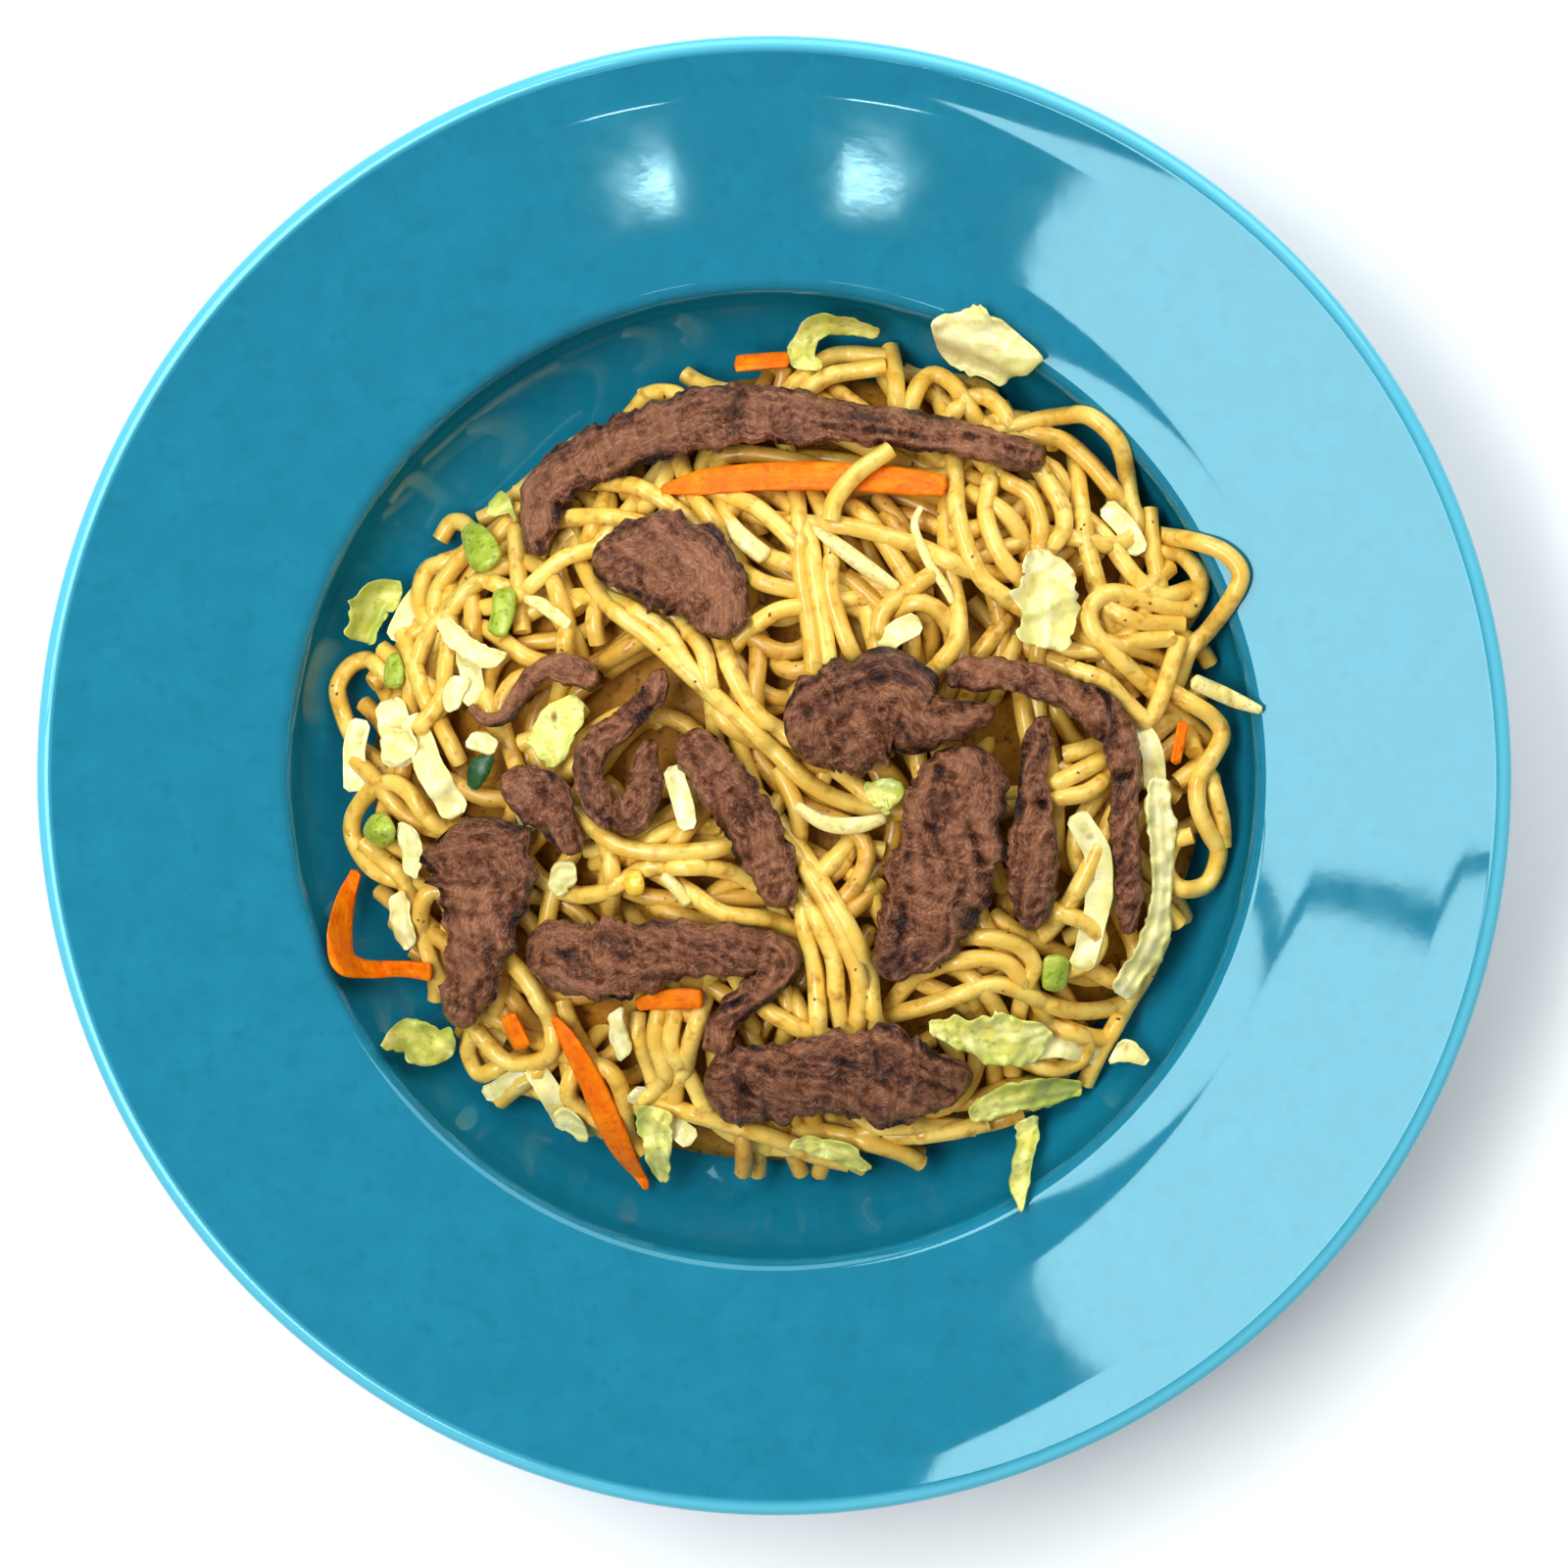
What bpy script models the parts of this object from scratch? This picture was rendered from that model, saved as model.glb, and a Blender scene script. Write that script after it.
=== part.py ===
"""Stir-fried noodles with beef, carrot and cabbage, heaped in a wide-rimmed pasta plate.

The plate's axis is +Z and it stands on Z = 0. Sizes and routes are in millimetres, and each mesh is
written in metres. A route is a list of (x, y, width) along a piece, seen from above with +Y away.
"""

import math

import bmesh
import bpy
from mathutils import Vector, noise

MM = 0.001

# Plate
PLATE_RADIUS = 140.0
PLATE_STEPS = 52
FLOOR_TOP = 9.0
FLOOR_BOTTOM = 4.5
FLOOR_RADIUS = 60.0
WELL_RADIUS = 92.5
WELL_TOP = 31.0
SHOULDER_ROUND = 3.5
RIM_OUTER = 135.5
RIM_RISE = 8.8
LIP_HEIGHT = 1.2
RIM_SEAM = 99.0
RIM_UNDERSIDE = 30.6
WALL = 4.0
FOOT_OUTER = 58.5
FOOT_INNER = 52.0

# Heap of noodles
HEAP_EDGE = (88.0, 89.0, 82.0, 78.0, 84.0, 82.0, 80.0, 83.0)
HEAP_PEAK = 45.0
HEAP_EDGE_THICKNESS = 3.0
HEAP_LUMP = 1.4
HEAP_SKIRT_SLOPE = 0.9
CORE_STEPS = 40
CORE_RINGS = (0.16, 0.34, 0.5, 0.65, 0.78, 0.89, 0.96, 1.0)
NOODLE_RADIUS = 1.6
NOODLE_SIDES = 5
NOODLE_STEP = 2.7
NOODLE_LENGTH = 54.0
NOODLE_TRIES = 900
NOODLE_SINK = 0.35
NOODLE_CLEARANCE = 0.3
SHORTEST_NOODLE = 13.0

# Fit
GAP = 0.35
TOPPING_GAP = 0.55
BED_REACH = 2.8
LEAF_THICKNESS = 1.1
CARROT_THICKNESS = 3.0

COLOURS = {
    "glaze": (0.02, 0.24, 0.35),
    "noodle": (0.80, 0.55, 0.16),
    "beef": (0.13, 0.045, 0.025),
    "carrot": (0.90, 0.25, 0.015),
    "cabbage": (0.72, 0.66, 0.22),
    "cabbage_white": (0.85, 0.80, 0.50),
    "green": (0.28, 0.42, 0.03),
    "dark_green": (0.02, 0.10, 0.02),
    "sprout": (0.80, 0.72, 0.42),
    "corn": (0.90, 0.68, 0.06),
}

# Beef: thickness, then the route. The folded strip and the knot are each fused from two runs.
BEEF = {
    "beef_long": [(7.0, [
        (-43.5, 42.5, 3.5), (-44, 48, 7.5), (-43.5, 55, 10), (-37, 60, 11), (-28, 64, 11.5),
        (-15, 68, 12), (0, 69.2, 11.5), (15, 67.8, 8.5), (32, 65.6, 7.5), (45, 62.4, 7),
        (53, 60.3, 5.5)])],
    "beef_patch": [(6.5, [
        (-33, 41, 5), (-28, 41.5, 11), (-21, 42, 18), (-13.5, 39, 18), (-8, 33, 13),
        (-5.5, 27, 6.5)])],
    "beef_curl": [(6.0, [
        (-56.5, 14, 1.6), (-52.5, 11.4, 2.6), (-48.5, 12.6, 3.6), (-45.5, 17.5, 4), (-41, 21.4, 4.5),
        (-36, 20.6, 6), (-31, 18, 4)])],
    "beef_arm": [(7.0, [
        (-14.5, 9, 6), (-11, 5, 9.5), (-6.5, -1, 10.5), (-2, -8, 10.5), (1.5, -14.5, 9.8),
        (3.3, -20, 8.5), (3.6, -24, 5)])],
    "beef_knot": [(6.5, [
        (-18.8, 21.2, 3), (-20, 16.5, 5), (-25, 11.8, 5.6), (-31, 6.8, 6), (-32.4, 1, 6),
        (-30.4, -4.5, 6.5), (-27, -8, 4)]),
        (6.5, [(-29, -6, 5), (-24.5, -6, 8.5), (-21.8, -1.5, 6.5), (-21.6, 4, 4.5), (-20.6, 8, 2.5)])],
    "beef_chip": [(6.0, [
        (-50, 0.5, 3.5), (-46, -1.5, 9), (-41, -4.5, 11), (-38.4, -8.5, 8), (-34.4, -13.5, 4.5)])],
    "beef_left": [(7.0, [
        (-57, -7.5, 11), (-55.6, -12, 21), (-54.3, -19, 21.5), (-54.6, -27, 16.5), (-56, -35, 12.5),
        (-58.3, -42, 11), (-61.2, -48.6, 5)])],
    "beef_zigzag": [(7.5, [
        (-45.5, -34.3, 6), (-41, -33.6, 12.5), (-33, -34, 15.5), (-24, -33.3, 14), (-14, -31.6, 11),
        (-4, -31.8, 9.5), (3, -33, 8), (1.5, -37.5, 7), (-4, -42, 6), (-7.8, -47, 5.6),
        (-8.8, -52, 6)]),
        (7.5, [
        (-11.6, -57, 7), (-7.5, -57.6, 15), (3, -57.8, 15.5), (14, -55.6, 16.5), (23.5, -56.2, 20),
        (31, -57.2, 14), (39.5, -56.4, 4.5)])],
    "beef_fold": [(7.5, [
        (6.5, 5.5, 8), (10.5, 8.8, 18), (16, 11.4, 20), (22, 14.2, 21), (27, 14.2, 17.5),
        (31.5, 11.6, 12), (38, 12.2, 6.5), (44, 13.4, 3)])],
    "beef_arch": [(5.5, [
        (34.5, 19.2, 3.5), (39.5, 20.4, 6.2), (47, 20.2, 5.8), (55, 17.6, 6.4), (62, 14.2, 7.4),
        (67, 8, 7.4), (68.2, 0.5, 6), (67.9, -8, 5.4), (69, -17, 5.4), (69, -24, 4.8),
        (69, -29.5, 2.4)])],
    "beef_slab": [(7.5, [
        (41, 6.6, 9), (38.8, 0.5, 16), (36, -8, 19), (34, -17, 20.5), (31, -25, 18), (26.2, -32, 12),
        (22.2, -36.2, 5)])],
    "beef_sliver": [(6.0, [
        (53.4, 12.4, 2.4), (52, 8, 5.2), (51.2, 2.5, 5.2), (51.2, -4, 6.4), (51, -10, 8.8),
        (51.2, -17, 9.6), (50.8, -23, 8.6), (51, -28.4, 3)])],
}

CARROT = {
    "carrot_top": [(-7.2, 79.6, 3.4), (0, 80.2, 3.4), (3.6, 80.4, 3.2)],
    "carrot_long": [(-20, 55, 1.6), (-12, 56.4, 4.8), (0, 57.5, 5.4), (15, 57.4, 5.4),
                    (28, 56.4, 5), (34.6, 55.6, 3.8)],
    "carrot_hook": [(-81.4, -18.5, 2.6), (-83.4, -24, 3), (-83.6, -31, 3), (-82.4, -36, 3.2),
                    (-78, -37.9, 3.2), (-71, -37.7, 3.4), (-65.5, -38, 3.6)],
    "carrot_under_bar": [(-24.5, -43, 2.2), (-21, -42, 3.4), (-16, -41.3, 4.2), (-11, -41.2, 3.8)],
    "carrot_spear": [(-41, -45.6, 1.4), (-38, -50, 3.8), (-34, -58.5, 5), (-31, -67, 5.6),
                     (-28, -75, 4), (-24.8, -81, 1)],
    "carrot_stub": [(-50.2, -45.4, 3.6), (-47.2, -52.4, 3.8)],
    "carrot_chip": [(79.2, 11.2, 2.2), (77.6, 3, 2)],
}

# Leaf pieces: material, height of the waves, then the route.
LEAF = {
    "leaf_top_curl": ("cabbage", 2.0, [(7.6, 78.2, 5), (6.2, 82.2, 5), (8.6, 85.8, 4),
                                       (14, 86.6, 3.2), (20.8, 85.2, 2)]),
    "leaf_top_right": ("cabbage_white", 1.4, [(31.6, 84.4, 6), (35.5, 83.8, 9.6), (40.5, 82.8, 12.4),
                                              (45.4, 82.9, 13.4), (48, 84.2, 11)]),
    "leaf_heart": ("cabbage_white", 2.4, [(51.4, 43.6, 2.8), (53.6, 39, 9.5), (53.8, 33, 12.6),
                                          (53.6, 28, 11), (53.6, 25, 9)]),
    "leaf_upper_left": ("cabbage", 1.4, [(-55, 50.6, 1.8), (-52.4, 52.4, 5), (-50.4, 52.6, 7)]),
    "leaf_left_upper": ("cabbage", 2.2, [(-73, 34.6, 5.5), (-77, 34.6, 6.6), (-79.4, 30, 6.6),
                                         (-80.4, 26, 5)]),
    "leaf_ribbon": ("cabbage_white", 1.4, [(-63, 30.6, 3), (-59.6, 26.8, 4), (-55.6, 24.4, 4.2),
                                           (-50.4, 22.2, 4)]),
    "leaf_stem": ("cabbage_white", 0.8, [(-58.4, 19.6, 4), (-59.8, 16.4, 4.6), (-59.8, 13, 3)]),
    "leaf_stem_low": ("cabbage_white", 0.8, [(-56.4, 8, 3), (-53.6, 6.8, 4.2), (-50.8, 6.2, 3.6)]),
    "leaf_translucent": ("cabbage", 1.4, [(-38.4, 15.4, 6), (-38.6, 10.6, 9.4), (-39, 7, 8.6),
                                          (-38.4, 3.2, 4)]),
    "leaf_left_mid": ("cabbage_white", 1.2, [(-75, 8, 4), (-71.4, 6.4, 7), (-67.6, 5.2, 4)]),
    "leaf_left_low": ("cabbage_white", 1.4, [(-69.4, -9, 3.6), (-69, -14, 5), (-69.2, -19, 3)]),
    "leaf_left_rib": ("cabbage_white", 1.4, [(-72.6, -22.6, 3.6), (-71.6, -28, 5), (-69.8, -33, 3.6)]),
    "leaf_bottom_left": ("cabbage", 2.2, [(-74.4, -50.6, 2.6), (-71, -50.4, 7), (-66, -52.4, 8),
                                          (-62.4, -53.6, 5.4)]),
    "leaf_bottom_pale": ("cabbage_white", 1.2, [(-42, -67.4, 3), (-39.4, -67.4, 6), (-36, -68.4, 5)]),
    "leaf_bottom_mid": ("cabbage", 1.8, [(-21.4, -63.4, 7.4), (-22, -69, 6.6), (-22, -75, 4.4),
                                         (-21.6, -79.4, 2)]),
    "leaf_bottom_green": ("cabbage", 1.6, [(4.4, -70.2, 2.4), (9, -70.6, 4), (14, -72.4, 5),
                                           (18.8, -76, 2.6)]),
    "leaf_lower_right": ("cabbage", 1.8, [(31.5, -46.4, 3), (37.5, -48, 6), (44.5, -49.6, 10.4),
                                          (50, -49, 9), (53.6, -47.4, 4)]),
    "leaf_long_lower": ("cabbage", 1.6, [(38.6, -64.6, 3.6), (46, -61.8, 6), (54.6, -60.6, 5.6),
                                         (60, -60.2, 3.4)]),
    "leaf_spear": ("cabbage", 0.8, [(49.4, -65.8, 4.2), (49, -72, 4.5), (48.6, -77, 3.6),
                                    (48.9, -82, 0.9)]),
    "leaf_right_long": ("cabbage_white", 1.2, [(74.4, 0.4, 4), (74.8, -8, 5.4), (75.4, -15, 4.4),
                                               (75, -24, 4.4), (73, -32, 5.6), (67.4, -41.6, 4.4)]),
    "leaf_right_tip": ("cabbage_white", 1.4, [(66, -52.8, 4.6), (69, -53, 4), (72.6, -53.8, 1.8)]),
    "leaf_knob": ("cabbage", 2.0, [(20, -2.6, 5), (24, -2.4, 7), (25, -4.6, 4)]),
    "leaf_tucked": ("cabbage_white", 1.0, [(-35.4, -17.8, 3.6), (-38.4, -18.6, 5), (-40.4, -21.4, 3.4)]),
    "leaf_vertical": ("cabbage_white", 0.9, [(-28.6, -44, 3.8), (-28, -49, 3.8), (-27, -53.4, 3.4)]),
}

# Solid sticks, round in section: material, thickness as a share of the width, then the route.
STICK = {
    "stem_green": ("green", 0.6, [(-60.4, 48.6, 3), (-57.4, 46, 6), (-55, 42.6, 7), (-53.6, 40, 5.4)]),
    "scallion_stem": ("green", 0.7, [(-50.4, 36.6, 4.8), (-50.4, 32, 4.8), (-51.8, 27.2, 4.4)]),
    "scallion_left": ("green", 0.7, [(-73.6, 24, 2.6), (-73, 20.6, 4.4), (-73, 17, 4.2)]),
    "pea": ("green", 0.85, [(-76, -6.8, 3.4), (-75.4, -10.2, 7.2), (-75, -13.8, 4)]),
    "dark_leaf_left": ("dark_green", 0.35, [(-51.8, 4.8, 1.8), (-54.4, 2, 4.4), (-56, -2, 2.2)]),
    "stem_cube": ("green", 0.6, [(55.6, -33, 5), (55, -37, 5), (55, -40.4, 4.4)]),
    "sprout_upper": ("sprout", 0.85, [(9, 48, 1), (13.4, 45, 2.8), (19, 40.8, 3.2), (25.8, 36.2, 2)]),
    "sprout_thin": ("sprout", 0.85, [(29.8, 52, 1.2), (28.6, 48, 1.6), (31, 42, 2), (34.4, 36.6, 1.8),
                                     (36, 33.4, 1.4)]),
    "sprout_right": ("sprout", 0.85, [(94, 13.2, 1.6), (88, 15.6, 3.2), (80.6, 19, 3)]),
    "rib_centre": ("sprout", 0.6, [(6.4, -4.4, 2), (12, -7.8, 3), (18, -8.2, 3.2), (23.6, -6.8, 2)]),
    "rib_left": ("sprout", 0.7, [(-46.6, 34.6, 1.6), (-42.4, 33, 2.8), (-37, 29, 2.4)]),
    "rib_low": ("sprout", 0.7, [(-18.6, -17.4, 2.4), (-15.6, -20.6, 2.6), (-13.6, -23.4, 2)]),
    "rib_dark_tip": ("sprout", 0.7, [(-6.4, 49.4, 2.2), (-4, 46, 3.6), (1, 42, 3.6)]),
    "corn_kernel": ("corn", 0.7, [(-24, -16.6, 2.4), (-24, -19.6, 4), (-24, -22, 2.6)]),
}

# Noodles that stand out at the heap's edge, as routes of (x, y, height above the bed).
NOODLE_LOOPS = {
    "left_loop": [(-76, 12, 0), (-77.5, 20, 0.5), (-82.5, 22, 1), (-85, 15, 1), (-82, 7, 0.5),
                  (-77, 3, 0)],
    "right_big_loop": [(73, 46, 0), (80, 45.5, 1), (88.5, 42.5, 2), (90, 37, 2), (85.6, 30, 1),
                       (80, 22, 0)],
    "right_inner_loop": [(72, 41, 0), (78, 42.4, 0.5), (82, 38, 1), (79.5, 33.4, 1), (73, 34, 0.5),
                         (66, 35, 0)],
    "top_right_arc": [(49, 68, 0), (56, 69.6, 0.5), (63, 67.6, 1), (67.6, 60, 1), (70.4, 51, 0.5),
                      (66, 46, 0)],
    "top_bump": [(27, 73, 0), (29, 77, 1), (33.5, 76.4, 1), (37, 72.6, 0.5), (42, 73, 1),
                 (45.6, 69, 0)],
    "ring_right": [(78, -17, 0), (80, -12, 0.5), (84, -11.6, 1), (86, -16, 1), (83.6, -20.4, 0.5),
                   (79, -20.8, 0)],
    "bottom_end_left": [(-58.4, -57.6, 0), (-60, -62, 0.2), (-59.2, -67.6, 0.2)],
    "bottom_end": [(-50, -60, 0), (-51, -64.6, 0.2), (-53, -68, 0.2)],
    "straight_right": [(76.6, -33, 0), (71, -44, 0.6), (65.4, -53, 0.6), (61, -59, 0)],
    "bottom_ends_right": [(22, -71, 0), (26, -74.6, 0.3), (29, -76.4, 0.3)],
    "top_fringe": [(8, 77, 0), (13, 80.4, 0.6), (20, 81.2, 0.6), (24.4, 79, 0.4), (25.4, 74, 0)],
    "left_fringe": [(-62, 38, 0), (-64.6, 43, 0.6), (-64, 48, 1.2), (-60.4, 52.6, 0.8)],
}


def clear_scene():
    for old in list(bpy.data.objects):
        bpy.data.objects.remove(old)


def ellipse_arc(centre, semi_r, semi_z, start, end, count):
    """Points of (radius, height) on an ellipse, from one angle to another in degrees."""
    points = []
    for i in range(count):
        angle = math.radians(start + (end - start) * i / (count - 1))
        points.append((centre[0] + semi_r * math.cos(angle), centre[1] + semi_z * math.sin(angle)))
    return points


def plate_top_profile():
    """The face that food lies on, from the axis out to the lip."""
    well = ellipse_arc((FLOOR_RADIUS, WELL_TOP), WELL_RADIUS - FLOOR_RADIUS, WELL_TOP - FLOOR_TOP, -90, 0, 6)
    shoulder_centre = (WELL_RADIUS + SHOULDER_ROUND, WELL_TOP)
    shoulder = ellipse_arc(shoulder_centre, SHOULDER_ROUND, SHOULDER_ROUND, 150, 100, 2)
    rim_end = WELL_TOP + SHOULDER_ROUND + RIM_RISE
    return [(0.0, FLOOR_TOP)] + well + shoulder + [(RIM_OUTER, rim_end)]


def plate_under_profile():
    """The face below, from the lip in to the foot and the axis."""
    rim_end = WELL_TOP + SHOULDER_ROUND + RIM_RISE
    lip = [
        (PLATE_RADIUS - 2.2, rim_end + LIP_HEIGHT),
        (PLATE_RADIUS - 0.4, rim_end + LIP_HEIGHT - 0.4),
        (PLATE_RADIUS, rim_end - 0.6),
        (PLATE_RADIUS - 1.2, rim_end - 2.2),
    ]
    outer = ellipse_arc((FOOT_OUTER, WELL_TOP), WELL_RADIUS + WALL - FOOT_OUTER, WELL_TOP - FLOOR_BOTTOM,
                        -8, -90, 5)
    knee = (RIM_SEAM, RIM_UNDERSIDE)
    foot = [(FOOT_OUTER - 0.8, 0.0), (FOOT_INNER, 0.0), (FOOT_INNER - 1.5, FLOOR_BOTTOM - 0.5)]
    return lip + [knee] + outer + foot + [(0.0, FLOOR_BOTTOM - 0.5)]


TOP_PROFILE = plate_top_profile()


def plate_height(radius):
    """Height of the plate's upper face at this distance from its axis."""
    for (r0, z0), (r1, z1) in zip(TOP_PROFILE, TOP_PROFILE[1:]):
        if radius <= r1:
            return z0 + (z1 - z0) * (radius - r0) / (r1 - r0)
    return TOP_PROFILE[-1][1]


def ball_on_plate(radius_out, ball):
    """Lowest height of a ball's centre that clears the plate, at this distance from the axis."""
    heights = []
    for i in range(-6, 7):
        side = ball * i / 6
        above = math.sqrt(max(0.0, ball ** 2 - side ** 2))
        heights.append(plate_height(max(0.0, radius_out + side)) + above)
    return max(heights)


def heap_edge(angle):
    """Radius of the heap's edge in this direction, smooth between the eight given ones."""
    turn = (angle / (2 * math.pi)) % 1.0 * len(HEAP_EDGE)
    low = int(turn) % len(HEAP_EDGE)
    share = (1 - math.cos(math.pi * (turn - int(turn)))) / 2
    return HEAP_EDGE[low] * (1 - share) + HEAP_EDGE[(low + 1) % len(HEAP_EDGE)] * share


def heap_height(x, y):
    """Height of the bare heap, which falls away outside its edge as a slope."""
    out, edge = math.hypot(x, y), heap_edge(math.atan2(y, x))
    edge_height = plate_height(edge) + HEAP_EDGE_THICKNESS
    if out >= edge:
        return edge_height - HEAP_SKIRT_SLOPE * (out - edge)
    rise = (1 - (out / edge) ** 3) ** 0.9
    lump = HEAP_LUMP * noise.noise(Vector((x / 17, y / 17, 0.3))) * 2 * rise
    return edge_height + (HEAP_PEAK - edge_height) * rise + lump


def bed_height(x, y):
    """Height of what a topping lies on, heap or plate: the highest point within the bed's reach."""
    spots = [(x, y), (x + BED_REACH, y), (x - BED_REACH, y), (x, y + BED_REACH), (x, y - BED_REACH)]
    return max(max(heap_height(u, v), plate_height(math.hypot(u, v))) for u, v in spots)


def smooth_route(route, step):
    """Points along a smooth curve through the route's own points, each value eased alike."""
    points = [Vector(p) for p in route]
    padded = [2 * points[0] - points[1]] + points + [2 * points[-1] - points[-2]]
    result = []
    for i in range(1, len(padded) - 2):
        before, start, end, after = padded[i - 1:i + 3]
        count = max(1, round((end - start).xy.length / step))
        for k in range(count):
            t = k / count
            result.append(0.5 * (2 * start + (end - before) * t
                                 + (2 * before - 5 * start + 4 * end - after) * t ** 2
                                 + (3 * start - before - 3 * end + after) * t ** 3))
    return result + [points[-1]]


def side_of(points, i):
    """Unit vector to the left of the route at point i, level."""
    along = (points[min(i + 1, len(points) - 1)] - points[max(i - 1, 0)]).xy.normalized()
    return Vector((-along.y, along.x))


def new_object(name, vertices, faces, material):
    mesh = bpy.data.meshes.new(name)
    mesh.from_pydata([Vector(v) * MM for v in vertices], [], faces)
    mesh.materials.append(material)
    obj = bpy.data.objects.new(name, mesh)
    bpy.context.scene.collection.objects.link(obj)
    return obj


def ring_mesh(rings):
    """Vertices and triangles of a closed tube through equal rings, with a fan on each end."""
    count = len(rings[0])
    vertices = [point for ring in rings for point in ring]
    faces = []
    for i in range(len(rings) - 1):
        for j in range(count):
            a, b = i * count + j, i * count + (j + 1) % count
            faces += [(a, b, b + count), (a, b + count, a + count)]
    last = (len(rings) - 1) * count
    for j in range(1, count - 1):
        faces += [(0, j + 1, j), (last, last + j, last + j + 1)]
    return vertices, faces


def crag(point, size, height):
    """Rough relief of seared meat at this point."""
    return height * noise.noise(Vector(point) / size)


def beef_rings(route, thickness):
    """Sections of a strip of beef, oval with a flatter underside that follows the bed."""
    points, sides, rings = smooth_route(route, 4.6), 8, []
    for i, point in enumerate(points):
        across = side_of(points, i)
        high = thickness * min(1.0, 0.45 + point.z / 14)
        ring = []
        for j in range(sides):
            angle = 2 * math.pi * (j + 0.5) / sides
            reach = math.copysign(abs(math.cos(angle)) ** 0.8, math.cos(angle))
            x = point.x + across.x * reach * point.z / 2
            y = point.y + across.y * reach * point.z / 2
            rise = high * (0.5 + 0.5 * math.sin(angle))
            relief = crag((x, y, rise), 3.1, 1.3) if rise > high / 2 else 0.0
            ring.append((x, y, bed_height(x, y) + TOPPING_GAP + rise + relief))
        rings.append(ring)
    return rings


def stick_rings(route, share, sides, turn):
    """Sections of a carrot stick, stem or sprout: a polygon as wide as the route says."""
    points, rings = smooth_route(route, 4.5), []
    corner = math.cos(math.pi / sides) if turn else 1.0
    for i, point in enumerate(points):
        across = side_of(points, i)
        ring = []
        for j in range(sides):
            angle = 2 * math.pi * (j + turn) / sides
            reach = math.cos(angle) / corner * point.z / 2
            x, y = point.x + across.x * reach, point.y + across.y * reach
            rise = share * point.z / 2 * (1 + math.sin(angle) / corner)
            ring.append((x, y, bed_height(x, y) + TOPPING_GAP + rise))
        rings.append(ring)
    return rings


def leaf_mesh(route, wave):
    """Vertices and triangles of a thin wavy leaf, its two faces split alike."""
    points, columns = smooth_route(route, 3.6), 4
    grid = []
    for i, point in enumerate(points):
        across = side_of(points, i)
        for j in range(columns):
            reach = (j / (columns - 1) - 0.5) * point.z
            x, y = point.x + across.x * reach, point.y + across.y * reach
            lift = wave * (0.5 + 0.5 * noise.noise(Vector((x / 4.2, y / 4.2, 7.0)) * 1.3))
            lift += wave * 0.5 * abs(j / (columns - 1) - 0.5)
            grid.append((x, y, bed_height(x, y) + TOPPING_GAP + max(0.0, lift)))
    count = len(grid)
    vertices = [(x, y, z + LEAF_THICKNESS) for x, y, z in grid] + grid
    faces = []
    for i in range(len(points) - 1):
        for j in range(columns - 1):
            a, b = i * columns + j, i * columns + j + 1
            c, d = a + columns, b + columns
            faces += [(a, c, d), (a, d, b)]
            faces += [(a + count, d + count, c + count), (a + count, b + count, d + count)]
    rim = [i * columns for i in range(len(points))]
    rim += [(len(points) - 1) * columns + j for j in range(1, columns)]
    rim += [i * columns + columns - 1 for i in range(len(points) - 2, -1, -1)]
    rim += [j for j in range(columns - 2, 0, -1)]
    for a, b in zip(rim, rim[1:] + rim[:1]):
        faces += [(a, a + count, b + count), (a, b + count, b)]
    return vertices, faces


def turn(name, outline, material):
    """Turns a closed outline about the plate's axis. A point on the axis is a single vertex."""
    vertices, rings = [], []
    for radius, height in outline:
        steps = PLATE_STEPS if radius else 1
        rings.append([len(vertices) + k % steps for k in range(PLATE_STEPS)])
        for k in range(steps):
            angle = 2 * math.pi * k / PLATE_STEPS
            vertices.append((radius * math.cos(angle), radius * math.sin(angle), height))
    faces = []
    for ring, after in zip(rings, rings[1:] + rings[:1]):
        for k in range(PLATE_STEPS):
            following = (k + 1) % PLATE_STEPS
            corners = [ring[k], after[k], after[following], ring[following]]
            face = [c for i, c in enumerate(corners) if c not in corners[:i]]
            if len(face) > 2:
                faces.append(face)
    obj = new_object(name, vertices, faces, material)
    obj.data.shade_smooth()
    return obj


def plate(material):
    """The well with its foot, and the rim: two solids, so that each has simple walls."""
    under = plate_under_profile()
    knee = next(i for i, (radius, _) in enumerate(under) if radius < RIM_OUTER)
    near, far = RIM_SEAM - GAP / 2, RIM_SEAM + GAP / 2
    top_near, top_far = (plate_height(near), plate_height(far))
    turn("plate", TOP_PROFILE[:-1] + [(near, top_near), (near, RIM_UNDERSIDE)] + under[knee + 1:], material)
    turn("plate_rim", [(far, top_far), TOP_PROFILE[-1]] + under[:knee] + [(far, RIM_UNDERSIDE)], material)


def heap_core(material):
    """The heap below its loose strands: a mound whose underside follows the plate."""
    rings = []
    for share in CORE_RINGS:
        rings.append([core_point(k, share, heap_height) for k in range(CORE_STEPS)])
    for share in (1.0, 0.93, 0.85, 0.74, 0.4):
        under = [core_point(k, share, lambda x, y: plate_height(math.hypot(x, y)) + GAP)
                 for k in range(CORE_STEPS)]
        rings.append(under)
    vertices = [point for ring in rings for point in ring]
    top, bottom = len(vertices), len(vertices) + 1
    vertices += [(0, 0, heap_height(0, 0)), (0, 0, FLOOR_TOP + GAP)]
    last = (len(rings) - 1) * CORE_STEPS
    faces = []
    for k in range(CORE_STEPS):
        following = (k + 1) % CORE_STEPS
        faces += [(top, k, following), (bottom, last + following, last + k)]
        for i in range(len(rings) - 1):
            a, b = i * CORE_STEPS + k, i * CORE_STEPS + following
            faces += [(a, a + CORE_STEPS, b + CORE_STEPS), (a, b + CORE_STEPS, b)]
    return new_object("noodles", vertices, faces, material)


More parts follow.
